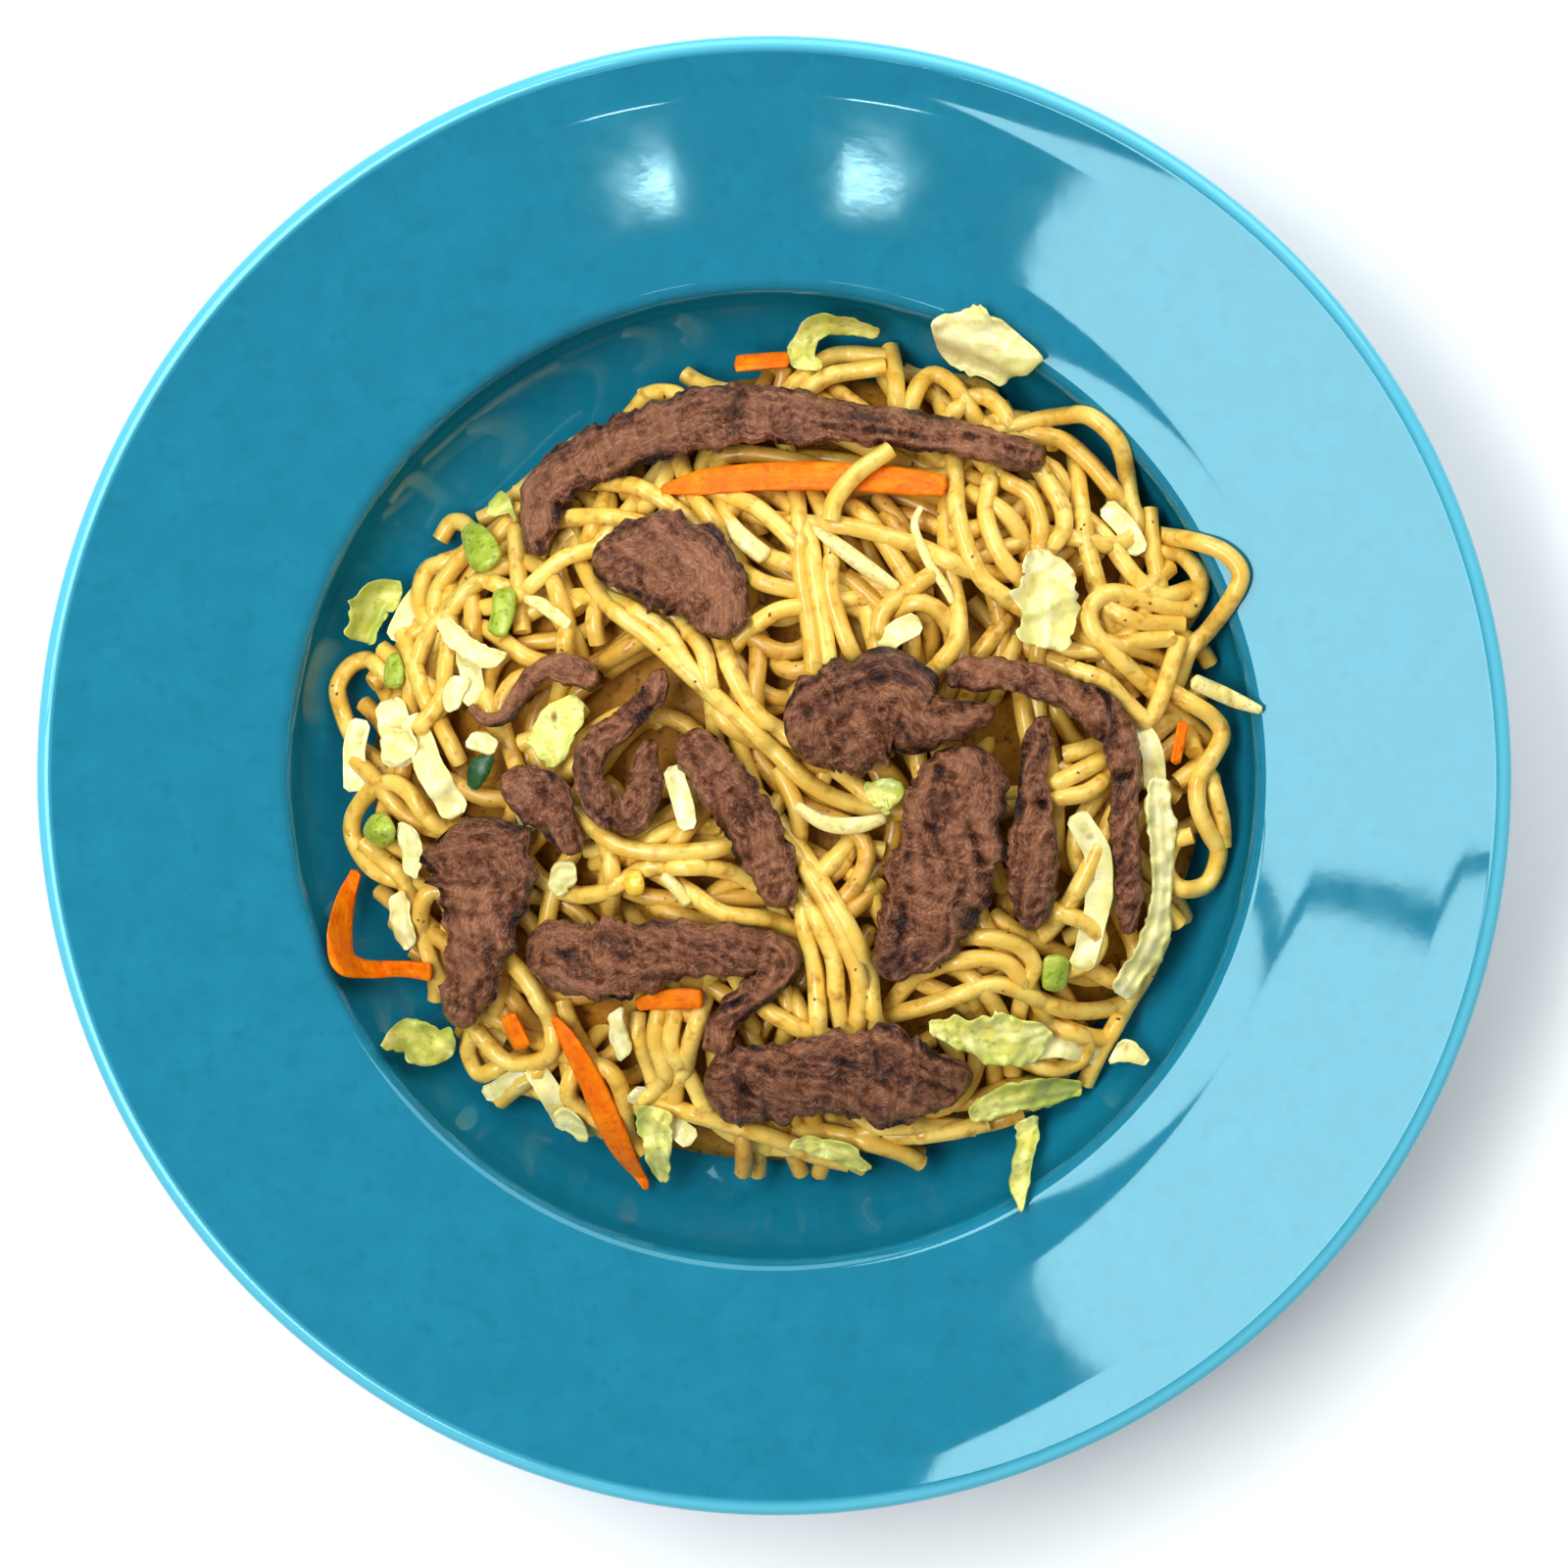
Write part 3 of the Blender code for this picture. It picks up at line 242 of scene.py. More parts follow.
# The noodles that show on top, each as a run of x, y pairs.
TOP_STRANDS = (
    (47, 67, 52, 68.5, 57, 69.3, 61, 69, 65, 66, 67.5, 62, 69, 53, 70, 49.5, 69, 46, 65, 44.5,
     60, 45.5), (35.5, 70, 38, 72.5, 41, 73, 44, 71, 46, 67.5),
    (27, 71, 29, 76, 31.5, 77.5, 35, 75.5, 37.5, 72), (22.5, 83, 24, 77, 24.5, 71),
    (4, 75, 8, 79, 13, 81.5, 22, 81), (7, 74.5, 12, 77.5, 22, 79),
    (-27, 71, -24, 74, -19, 74, -16, 72),
    (74.5, 46.5, 80, 45.5, 86, 43.5, 89.5, 40, 89, 36, 84, 28.5, 80.5, 25, 78.5, 20),
    (75, 43, 79, 42.5, 82.3, 38, 81, 33, 77, 32.5, 71, 34.5, 65, 35.5, 61.5, 32.5, 62, 28.5,
     65, 25, 68, 22), (81, 36.5, 75.5, 35, 71, 37.5, 68, 41, 66, 44),
    (72.5, 51.5, 73, 45, 74.5, 37), (36, 57, 36.5, 51, 38.5, 44, 41.5, 38, 46.5, 34),
    (42.5, 56, 42, 50, 44.5, 43, 48.5, 38), (46, 56.5, 50, 54, 52, 49, 52, 45.5),
    (53, 57, 56, 52, 56.5, 47.5, 54.5, 44.5), (50, 65.5, 56, 64.5, 61, 60.5, 64, 57, 66, 54.5),
    (60, 50, 61, 44, 62.5, 38.5), (58.5, 21, 64, 19, 68.5, 14.5, 72.5, 11.5, 75, 16, 78.5, 27),
    (72, 8, 74.5, 4, 78, 2.5),
    (80, 15, 84.5, 12, 86.5, 8.5, 84.5, 4, 82, 0, 82, -5, 84, -10, 86, -14, 84, -20, 79, -21,
     76, -17.5, 77.5, -12, 81, -10.5), (85, -2, 86.5, -8, 86.8, -13), (67, 31.5, 71, 30, 79, 29.5),
    (66, 25.5, 72, 26.5, 77, 27), (67, 21, 71, 23.5, 76, 24.5),
    (75.5, -30, 72, -38, 68, -45, 64, -52, 60.5, -59.5),
    (54, -24.5, 60, -26.5, 63.5, -30, 62, -34, 58.5, -36), (63.5, -36, 64, -40, 61, -43.5),
    (35, -30, 42, -29.5, 48, -31, 51, -34.5, 50, -38), (35, -34.5, 41, -33.5, 46, -34.5, 49, -38),
    (37, -40.5, 43, -38.5, 48.5, -40, 53, -42.5), (50, -54.5, 55, -56, 60, -54, 60.5, -50, 56, -48),
    (30, -42.5, 36, -43, 40, -44.5), (29, -69, 36, -68, 42, -66.5), (65, -8.5, 62, -15, 59, -21),
    (60, -20, 66, -25), (54, 5, 60, 10), (55, 2, 62, 8), (54, -1, 60, 2, 64, 4),
    (55, -3, 61, -2, 65, 1), (-28, 32, -20, 26, -12, 19, -4, 12, 2, 6, 6, 2),
    (-24, 32, -18, 28, -14, 22, -10, 17), (-16, 30, -11, 25, -9.5, 18),
    (-6, 22, -3, 16, 0, 12, 5, 8.5), (2, 27, 4, 23, 9, 20.5), (-2, 29, 3, 32, 8, 33),
    (7, 45, 7.5, 38, 9, 30, 10, 22, 9.5, 18), (9.5, 43, 10.5, 36, 12, 28, 13, 21),
    (13, 42, 13, 36, 15, 29, 17.5, 23), (-7, 54, -2, 52, 3, 48, 7, 44),
    (9, 48.5, 16, 48, 24, 46, 31, 43.5, 36, 41), (22, 28, 23, 32, 27, 35.5, 33.5, 40),
    (35.5, 38, 37, 31, 36.5, 26, 33.5, 22), (-5, 47, 0, 43, 5, 41), (-6, 41, 0, 37.5, 6, 36),
    (-12, 52, -8, 47, -5, 42), (-29, 56.5, -24, 55.5, -18, 52, -12, 48),
    (-37, 50, -30, 50, -25, 49), (-45, 37, -39, 42, -33, 44, -30, 47),
    (-66, 46, -63.5, 49.5, -60, 48.5, -59, 44.5, -62, 40.5, -65, 36, -65.5, 31),
    (-64, 41.5, -68, 40, -69, 35, -67, 30), (-52, 37, -56, 38, -60, 34.5, -63, 30),
    (-56, 38, -61, 34, -66, 28, -68.5, 22),
    (-76, 20, -79, 22.5, -83, 21.5, -85.5, 17, -84.5, 11.5, -82, 7),
    (-66, -7, -69, -3, -73, -1, -78, -3, -82, -8, -82, -13, -78, -18, -73, -20),
    (-80, -13, -76, -16, -72, -19, -70, -24), (-72, 28, -69, 22, -67, 17),
    (-62, 30, -62, 22, -63, 15, -67, 10), (-62, -22, -66, -22.5, -68, -28, -67, -34),
    (-40, 36, -38, 30, -38, 25), (-58.5, -50, -60, -54, -58, -58.5, -54.5, -57.5),
    (-60, -60, -58.5, -67.5), (-54, -64, -49, -60, -45, -57), (-52.5, -68, -49, -62),
    (-54.5, -53, -51, -55.5, -45, -55, -41.5, -52, -42, -46, -44, -42),
    (-48, -62, -44, -62, -40, -58.5), (-38, -57, -39, -62, -35, -66, -32, -68),
    (-34, -55, -30, -56.5, -28, -62, -28, -70, -25, -73), (-47.5, -42, -46.5, -48, -44.5, -52),
    (-38, -42, -38, -48), (-33.5, -43, -33, -50), (-20, -44, -21, -50, -19.5, -57, -22, -60),
    (-17, -44, -18, -51, -15, -57, -13, -62), (-12, -44, -14, -50, -15.5, -55),
    (-15, -64.5, -8, -66.5, 0, -69, 8, -73, 15, -75), (-10, -79, -7, -81, -4, -79.5),
    (-10, -77.5, -3, -76), (-17, -71, -14, -78), (-20, -70, -18.5, -78), (19, -77.5, 26, -79.5),
    (16, -63.5, 21, -67, 28, -67), (18, -70, 25, -72.5, 29, -75),
    (8, -16, 12, -22, 16, -30, 18.5, -38, 18, -45), (12, -20, 17, -28, 20, -36, 21, -44),
    (10, -25, 13.5, -33, 14, -40), (8, -27, 10, -36, 10.5, -45), (0, -43, 6, -46.5, 10, -48),
    (-30, -10.5, -26, -12.5, -18, -13.5, -10, -13, -6, -12), (-12, -12, -11, -18, -10, -22),
    (-28, -20, -22, -16.5, -12, -16), (-12, -22, -7, -25, 0, -26, 4, -27.5),
    (-11, -11, -8, -8.5, -5.5, -6),
)

# Shreds of cabbage among the noodles, each as its width and a run of x, y pairs.
SHREDS = (
    (5.5, (-69, 12, -66, 5, -62.5, -1, -59, -7)), (6.5, (-74, 15, -72, 9, -71.5, 2)),
    (4.5, (-80, 11, -81.5, 4, -81, -3)), (5.0, (-50, 12, -47, 9.5, -44, 8)),
    (4.0, (-16.5, 3, -15, -3, -13.5, -9)), (3.6, (-57, -63, -52, -60, -47, -57)),
    (5.0, (-41, -66, -37, -69, -33, -72)), (4.4, (-26, -60, -20, -66, -14.5, -70)),
    (5.0, (59, -6, 63, -14, 63, -24, 60, -36)), (4.0, (64, 52, 68, 48, 71, 43)),
    (5.0, (-66, 40, -70, 33, -73, 26)), (4.6, (-60, 28, -57, 22, -56, 14)),
    (4.6, (48, -52, 56, -51, 64, -54)), (4.0, (-48, 2, -46, -4, -45, -10)),
    (4.4, (20, 20, 24, 27, 30, 30)), (4.2, (70, 12, 73, 6, 74, -2)),
    (4.6, (-46, -56, -42, -62, -40, -69)),
)
SHRED_THICKNESS = 1.1

# A noodle that crosses on top of a carrot stick.
CROSSING_STRANDS = ((13, 49, 14, 53, 18, 58, 24, 62.5),)

# Finishes: three colours in 0-255, size of the mottling, fibres as (length, width, depth), specks as
# (spacing, share, colour), roughness from oily to dry, depth of the fine bump, and light let in.
FINISHES = {
    "glaze": ((18, 111, 136), (21, 116, 142), (16, 107, 131), 9.0, None, (0.8, 0.04, (52, 150, 176)),
              (0.03, 0.045), 0.004, 0.0),
    "noodle": ((234, 188, 76), (248, 216, 114), (194, 140, 42), 6.0, (16.0, 0.8, 0.03),
               (5.0, 0.012, (150, 96, 36)), (0.14, 0.32), 0.03, 0.25),
    # Painted shade: a darker copy of the noodle finish, for the buried noodles.
    "noodle_deep_shaded": ((222, 172, 66), (236, 196, 92), (168, 112, 30), 6.0, (16.0, 0.8, 0.03),
                    (2.6, 0.05, (96, 54, 18)), (0.18, 0.38), 0.03, 0.2),
    # The core's colour is painted shade: the heap's dark, sauce-brown inside, seen in the gaps between noodles.
    "core": ((150, 98, 26), (176, 122, 40), (96, 56, 12), 4.0, None, None, (0.4, 0.6), 0.2, 0.0),
    # The beef's light and dark colours also give the painted highlight on its ridges and the painted shade in
    # its creases.
    "beef": ((94, 46, 24), (158, 102, 70), (42, 18, 9), 1.5, (7.0, 0.9, 1.3),
             None, (0.12, 0.34), 0.6, 0.03),
    "carrot": ((234, 104, 0), (244, 134, 8), (210, 80, 0), 3.2, (9.0, 0.7, 0.3),
               None, (0.25, 0.42), 0.1, 0.1),
    "cabbage": ((222, 210, 100), (238, 232, 150), (158, 172, 60), 4.0, (5.0, 0.9, 0.12),
                (9.0, 0.05, (150, 108, 48)), (0.14, 0.34), 0.06, 0.2),
    "cabbage_white": ((240, 222, 148), (250, 238, 188), (212, 204, 116), 4.0, (5.0, 0.9, 0.12),
                      (9.0, 0.04, (180, 136, 66)), (0.14, 0.34), 0.06, 0.2),
    "green": ((150, 168, 42), (184, 196, 80), (98, 120, 18), 2.6, (8.0, 0.5, 0.06),
              None, (0.16, 0.34), 0.04, 0.2),
    "dark_green": ((24, 66, 24), (42, 88, 36), (12, 38, 14), 2.0, (4.0, 0.4, 0.08),
                   None, (0.18, 0.36), 0.05, 0.05),
    "sprout": ((228, 208, 124), (240, 228, 164), (196, 168, 84), 2.6, (10.0, 0.4, 0.05),
               None, (0.14, 0.32), 0.03, 0.3),
    "corn": ((236, 190, 52), (246, 212, 96), (206, 150, 26), 1.8, None, None, (0.14, 0.3), 0.03, 0.25),
    "sauce_speck": ((110, 58, 22), (140, 84, 36), (60, 28, 12), 0.6, None, None, (0.2, 0.45), 0.05, 0.0),
    "table": ((250, 250, 250), (252, 252, 252), (248, 248, 248), 60.0, None, None, (0.55, 0.6), 0.01, 0.0),
}

# How the glaze mirrors light, and the finishes with less than the usual shine.
GLAZE_IOR = 1.56
GLAZE_SHINE = (0.58, 0.96, 1.0, 1)
LOW_SHINE = {"carrot": 0.16, "beef": 0.38, "core": 0.1}


def linear(colour):
    """Linear values of a 0-255 colour."""
    return tuple((c / 255 / 12.92) if c < 10.3 else ((c / 255 + 0.055) / 1.055) ** 2.4 for c in colour)


def lattice_noise(points, seed=0):
    """Smooth noise from -1 to 1 at each point, between random values on a lattice."""
    base = np.floor(points).astype(np.int64)
    ease = points - base
    ease = ease * ease * (3 - 2 * ease)
    total = 0.0
    for corner in itertools.product((0, 1), repeat=3):
        at = base + np.array(corner)
        key = ((at[..., 0] * 73856093) ^ (at[..., 1] * 19349663) ^ (at[..., 2] * 83492791)
               ^ (seed * 2654435))
        key = (key * 1103515245 + 12345) & 0x7FFFFFFF
        key = ((key ^ (key >> 13)) * 1274126177) & 0x7FFFFFFF
        value = (key >> 8 & 0xFFFF) / 32767.5 - 1
        total = total + value * np.prod(np.where(corner, ease, 1 - ease), axis=-1)
    return total


def ellipse_arc(centre, semi_r, semi_z, start, end, count):
    angle = np.radians(np.linspace(start, end, count))
    return list(zip(centre[0] + semi_r * np.cos(angle), centre[1] + semi_z * np.sin(angle)))


def plate_top_profile(arc_points, shoulder_points):
    """The face that food lies on, from the axis out to the lip."""
    well = ellipse_arc((FLOOR_RADIUS, WELL_TOP), WELL_RADIUS - FLOOR_RADIUS, WELL_TOP - FLOOR_TOP,
                       -90, 0, arc_points)
    shoulder = ellipse_arc((WELL_RADIUS + SHOULDER_ROUND, WELL_TOP), SHOULDER_ROUND, SHOULDER_ROUND,
                           150, 100, shoulder_points)
    return [(0.0, FLOOR_TOP)] + well + shoulder + [(RIM_OUTER, WELL_TOP + SHOULDER_ROUND + RIM_RISE)]


SOLID_PROFILE = np.array(plate_top_profile(6, 2))


def plate_height(radius):
    return np.interp(radius, SOLID_PROFILE[:, 0], SOLID_PROFILE[:, 1])


def heap_edge(angle):
    turn = (angle / (2 * math.pi)) % 1.0 * len(HEAP_EDGE)
    edge = np.array(HEAP_EDGE)
    low = np.floor(turn).astype(int) % len(edge)
    share = (1 - np.cos(math.pi * (turn - np.floor(turn)))) / 2
    return edge[low] * (1 - share) + edge[(low + 1) % len(edge)] * share


def heap_height(x, y):
    """Height of the bare heap at arrays of places, falling away outside its edge."""
    out, edge = np.hypot(x, y), heap_edge(np.arctan2(y, x))
    edge_height = plate_height(edge) + HEAP_EDGE_THICKNESS
    rise = np.maximum(0.0, 1 - (out / edge) ** 3) ** 0.9
    flat = [noise.noise(Vector((u / 17, v / 17, 0.3))) for u, v in zip(np.ravel(x), np.ravel(y))]
    lump = HEAP_LUMP * 2 * rise * np.array(flat).reshape(np.shape(x))
    inside = edge_height + (HEAP_PEAK - edge_height) * rise + lump
    return np.where(out < edge, inside, edge_height - HEAP_SKIRT_SLOPE * (out - edge))


class HeightMap:
    """Heights on a square grid, read between the grid's points."""

    def __init__(self, values):
        self.values = values

    def at(self, x, y):
        u = np.clip((np.asarray(x) + MAP_HALF) / MAP_STEP, 0, self.values.shape[1] - 1.001)
        v = np.clip((np.asarray(y) + MAP_HALF) / MAP_STEP, 0, self.values.shape[0] - 1.001)
        i, j = v.astype(int), u.astype(int)
        a, b = v - i, u - j
        z = self.values
        return ((z[i, j] * (1 - b) + z[i, j + 1] * b) * (1 - a)
                + (z[i + 1, j] * (1 - b) + z[i + 1, j + 1] * b) * a)

    def spread(self, reach):
        """The same map with every height carried out to a distance on each side."""
        shift, z = round(reach / MAP_STEP), self.values
        wide = z.copy()
        for axis, move in ((0, shift), (0, -shift), (1, shift), (1, -shift)):
            wide = np.maximum(wide, np.roll(z, move, axis))
        return HeightMap(wide)

    def stamp(self, x, y, radius, height):
        """Raises a disc to a height, given as a function of the squared distance from its centre."""
        i = int((y + MAP_HALF) / MAP_STEP)
        j = int((x + MAP_HALF) / MAP_STEP)
        reach = int(radius / MAP_STEP) + 1
        rows = slice(max(0, i - reach), i + reach + 2)
        columns = slice(max(0, j - reach), j + reach + 2)
        dy = np.arange(rows.start, min(rows.stop, len(self.values))) * MAP_STEP - MAP_HALF - y
        dx = np.arange(columns.start, min(columns.stop, len(self.values))) * MAP_STEP - MAP_HALF - x
        away = dx[None, :] ** 2 + dy[:, None] ** 2
        patch = self.values[rows, columns]
        inside = away < radius ** 2
        patch[inside] = np.maximum(patch[inside], height(away)[inside])


def make_maps():
    """The bare heap, and the bed that each topping lies on."""
    line = np.arange(-MAP_HALF, MAP_HALF + MAP_STEP / 2, MAP_STEP)
    x, y = np.meshgrid(line, line)
    heap = heap_height(x, y)
    plate = plate_height(np.hypot(x, y))
    return HeightMap(heap), HeightMap(plate), HeightMap(np.maximum(heap, plate)).spread(BED_REACH)


HEAP_MAP, PLATE_MAP, BED_MAP = make_maps()


def smooth_route(route, step):
    """Points along a smooth curve through the route's own points, each value eased alike."""
    points = [np.array(p, float) for p in route]
    padded = [2 * points[0] - points[1]] + points + [2 * points[-1] - points[-2]]
    result = []
    for before, start, end, after in zip(padded, padded[1:], padded[2:], padded[3:]):
        count = max(1, round(float(np.hypot(*(end - start)[:2])) / step))
        for t in np.arange(count) / count:
            result.append(0.5 * (2 * start + (end - before) * t
                                 + (2 * before - 5 * start + 4 * end - after) * t ** 2
                                 + (3 * start - before - 3 * end + after) * t ** 3))
    return np.array(result + [points[-1]])


def sides_of(points):
    """Unit vectors to the left of a route, level, one for each of its points."""
    along = np.gradient(points[:, :2], axis=0)
    along /= np.linalg.norm(along, axis=1)[:, None] + 1e-9
    return np.stack([-along[:, 1], along[:, 0]], axis=1)


def lengths_of(points):
    return np.concatenate([[0], np.cumsum(np.linalg.norm(np.diff(points[:, :2], axis=0), axis=1))])


def new_mesh_object(name, vertices, faces, material, grain=None, tone=None):
    """A smooth-shaded object from millimetre vertices.

    grain is a map of (along, around) for fibres, and tone is a colour share; on beef it is darker in creases as
    painted shade and lighter on ridges as painted highlight.
    """
    mesh = bpy.data.meshes.new(name)
    mesh.from_pydata((np.asarray(vertices) * MM).tolist(), [], faces)
    if grain is not None:
        layer = mesh.uv_layers.new(name="grain")
        corner = np.array([loop.vertex_index for loop in mesh.loops])
        layer.data.foreach_set("uv", (np.asarray(grain)[corner] / 10).ravel())
    if tone is not None:
        mesh.attributes.new("tone", "FLOAT", "POINT").data.foreach_set("value", tone)
    mesh.materials.append(material)
    mesh.shade_smooth()
    obj = bpy.data.objects.new(name, mesh)
    bpy.context.scene.collection.objects.link(obj)
    return obj


def tube_faces(rings, count, offset=0):
    """Quads between equal rings, with a fan of triangles from a point at each end."""
    faces = []
    for i in range(rings - 1):
        for j in range(count):
            a, b = offset + i * count + j, offset + i * count + (j + 1) % count
            faces.append((a, b, b + count, a + count))
    first, last = offset + rings * count, offset + rings * count + 1
    low = offset + (rings - 1) * count
    for j in range(count):
        faces.append((first, offset + (j + 1) % count, offset + j))
        faces.append((last, low + j, low + (j + 1) % count))
    return faces


def strip_surface(route, step, count, section, offset=0):
    """A closed strip along a route: its vertices, faces, grain map and tone.

    section gives the reach to each side, the rise above the bed and the tone around the strip.
    """
    points = smooth_route(route, step)
    across, along = sides_of(points), lengths_of(points)
    angle = 2 * math.pi * (np.arange(count) + 0.5) / count
    reach, rise, tone = section(points, along, angle)
    x = points[:, 0:1] + across[:, 0:1] * reach
    y = points[:, 1:2] + across[:, 1:2] * reach
    z = BED_MAP.at(x, y) + TOPPING_GAP + rise
    vertices = np.stack([x, y, z], axis=-1)
    around = np.cumsum(np.hypot(np.diff(reach, axis=1, prepend=reach[:, :1]),
                                np.diff(rise, axis=1, prepend=rise[:, :1])), axis=1)
    grain = np.stack([np.broadcast_to(along[:, None], around.shape), around], axis=-1)
    ends = np.array([vertices[0].mean(axis=0), vertices[-1].mean(axis=0)])
    end_grain = np.array([grain[0].mean(axis=0), grain[-1].mean(axis=0)])
    return (np.concatenate([vertices.reshape(-1, 3), ends]),
            tube_faces(len(points), count, offset),
            np.concatenate([grain.reshape(-1, 2), end_grain]),
            np.concatenate([np.ravel(tone + 0 * rise), [0.2, 0.2]]))


def end_round(along, width, share=0.5):
    """How much of its section a strip keeps near its ends, so that they are rounded off."""
    near = np.minimum(along, along[-1] - along) / np.maximum(0.3, width * share)
    return np.sqrt(np.clip(1 - (1 - np.clip(near, 0, 1)) ** 2, 0.02, 1))


def beef_section(thickness, seed):
    """Section of seared beef: lumps, folds across it and bundles of fibres along it."""
    slant = (0.0, 0.45, -0.35, 0.2)[seed % 4]

    def section(points, along, angle):
        width = points[:, 2]
        keep = end_round(along, width, 0.28)[:, None]
        side = np.sign(np.cos(angle))
        u, edge = np.broadcast_arrays(along[:, None], side)
        ragged = 1 + 0.13 * lattice_noise(np.stack([u / 2.4, edge, 0 * u], -1), seed)
        ragged = ragged + 0.07 * lattice_noise(np.stack([u / 0.9, edge, 0 * u], -1), seed + 6)
        reach = side * np.abs(np.cos(angle)) ** 0.8 * width[:, None] / 2 * ragged
        high = (thickness * np.minimum(1.0, 0.45 + width / 14))[:, None]
        rise = high * (0.5 + 0.5 * np.sin(angle))
        v = reach + slant * u

        def layer(long, wide, number):
            return lattice_noise(np.stack([u / long, v / wide, rise / 2.5], -1), seed + number)

        sway = 1.8 * layer(6.0, 5.0, 5)
        v = v + sway
        bundles = 1 - 2.2 * np.abs(layer(9.0, 2.3, 3))
        folds = 1 - 2.4 * np.abs(layer(2.1, 4.5, 2) + 0.35 * layer(1.1, 1.4, 9))
        fibres = layer(7.0, 1.0, 7)
        crumple = layer(1.5, 1.3, 4)
        relief = (0.8 * layer(6.5, 4.6, 1) + 0.5 * bundles + 0.62 * folds + 0.3 * fibres
                  + 0.42 * crumple - 0.4)
        upper = np.clip(np.sin(angle) * 0.8 + 0.6, 0, 1)
        rise = rise + relief * upper * np.minimum(1, 0.4 + width / 9)[:, None]
        rim = np.abs(np.cos(angle)) ** 4
        # Tone follows the relief: lighter on ridges as painted highlight, darker in folds and creases as painted
        # shade; darker at the sides for char and towards the ends, with random patches.
        tone = 0.44 + 0.32 * bundles + 0.14 * folds + 0.34 * fibres + 0.14 * crumple
        tone = tone + 0.3 * layer(9.0, 6.0, 8) - 0.3 * rim
        return reach * keep, np.maximum(rise * (0.35 + 0.65 * keep), -0.2), np.clip(tone * keep, 0, 1)

    return section


def carrot_section(height, seed):
    """Section of a cut carrot stick: a box with soft edges."""
    def section(points, along, angle):
        width = points[:, 2]
        keep = end_round(along, width, 0.16)[:, None]
        square = (np.abs(np.cos(angle)) ** 5 + np.abs(np.sin(angle)) ** 5) ** -0.2
        reach = np.cos(angle) * square * width[:, None] / 2
        rise = (height * width / width.max())[:, None] / 2 * (1 + np.sin(angle) * square)
        u, v = np.broadcast_arrays(along[:, None], reach)
        wear = 0.12 * lattice_noise(np.stack([u / 2.5, v / 1.4, rise / 1.4], -1), seed)
        return reach * keep * (1 + 0.3 * wear), rise * (0.4 + 0.6 * keep) + wear, 0.5
    return section


def stick_section(share, seed):
    """Section of a stem, pea or sprout: round, and flatter where share is small."""
    def section(points, along, angle):
        width = points[:, 2]
        keep = end_round(along, width, 0.3)[:, None]
        reach = np.cos(angle) * width[:, None] / 2
        rise = share * width[:, None] / 2 * (1 + np.sin(angle))
        u, v = np.broadcast_arrays(along[:, None], reach)
        wear = 0.16 * lattice_noise(np.stack([u / 3.5, v / 1.2, rise / 1.2], -1), seed)
        return reach * keep, rise * (0.3 + 0.7 * keep) + wear * keep, 0.5
    return section


def leaf_surface(route, wave, seed):
    """A thin ruffled leaf: veins along it, a ragged edge, and both faces closed at the rim."""
    points, columns = smooth_route(route, 0.55), 25
    across, along = sides_of(points), lengths_of(points)
    share = np.linspace(-1, 1, columns)[None, :]
    flat_edge = np.stack(np.broadcast_arrays(along[:, None], np.sign(share) * 1.0, 0 * share), -1)
    ragged = 1 + 0.2 * lattice_noise(flat_edge / (2.6, 1, 1), seed)
    ragged = ragged + 0.1 * lattice_noise(flat_edge, seed + 3)
    half = (points[:, 2:3] / 2) * (0.6 + 0.4 * end_round(along, points[:, 2], 0.22)[:, None]) * ragged
    reach = share * half
    slant = reach * (0.45, -0.35, 0.2, -0.5, 0.1)[seed // 5 % 5]
    x = points[:, 0:1] + across[:, 0:1] * reach + across[:, 1:2] * slant
    y = points[:, 1:2] + across[:, 1:2] * reach - across[:, 0:1] * slant
    place = np.stack([x / 3.0, y / 3.0, 0 * x], -1)
    ruffle = wave * (0.5 + 0.65 * lattice_noise(place, seed) + 0.7 * np.abs(share) ** 2.5)
    ruffle += 0.5 * wave * lattice_noise(place * 2.1, seed + 1) * (0.3 + np.abs(share))
    rib = np.exp(-(reach / 0.8) ** 2) * np.ones_like(x)
    vein = 0.4 * rib + 0.25 * np.maximum(0, lattice_noise(np.stack([
        (along[:, None] + np.abs(reach)) / 1.5, 0 * reach, 0 * reach], -1), seed + 2))
    low = BED_MAP.at(x, y) + TOPPING_GAP + np.maximum(0, ruffle)
    thick = 0.25 + 0.7 * np.minimum(1, (1 - np.abs(share)) * 5) * np.ones_like(low)
    top = np.stack([x, y, low + thick + vein], -1).reshape(-1, 3)
    under = np.stack([x, y, low], -1).reshape(-1, 3)
    grain = np.stack(np.broadcast_arrays(along[:, None], reach), -1).reshape(-1, 2)
    count, faces = len(top), []
    for i in range(len(points) - 1):
        for j in range(columns - 1):
            a = i * columns + j
            faces.append((a, a + columns, a + columns + 1, a + 1))
            faces.append((a + count, a + 1 + count, a + columns + 1 + count, a + columns + count))
    rows = len(points)
    rim = [i * columns for i in range(rows)] + [(rows - 1) * columns + j for j in range(1, columns)]
    rim += [i * columns + columns - 1 for i in range(rows - 2, -1, -1)] + list(range(columns - 2, 0, -1))
    for a, b in zip(rim, rim[1:] + rim[:1]):
        faces.append((a, a + count, b + count, b))
    tone = 0.32 + 0.5 * along[:, None] / along[-1] + 0.5 * lattice_noise(place / 2, seed + 4) - 0.5 * rib
    tone = np.clip(tone + 0.2 * np.abs(share), 0, 1).ravel()
    return np.concatenate([top, under]), faces, np.concatenate([grain, grain]), np.concatenate([tone, tone])


def add_node(tree, kind, inputs=None, **settings):
    """A node with its settings and its input values or links, given by socket name or number."""
    node = tree.nodes.new(kind)
    for key, value in settings.items():
        setattr(node, key, value)
    for key, value in (inputs or {}).items():
        if isinstance(value, bpy.types.NodeSocket):
            tree.links.new(value, node.inputs[key])
        else:
            node.inputs[key].default_value = value
    return node


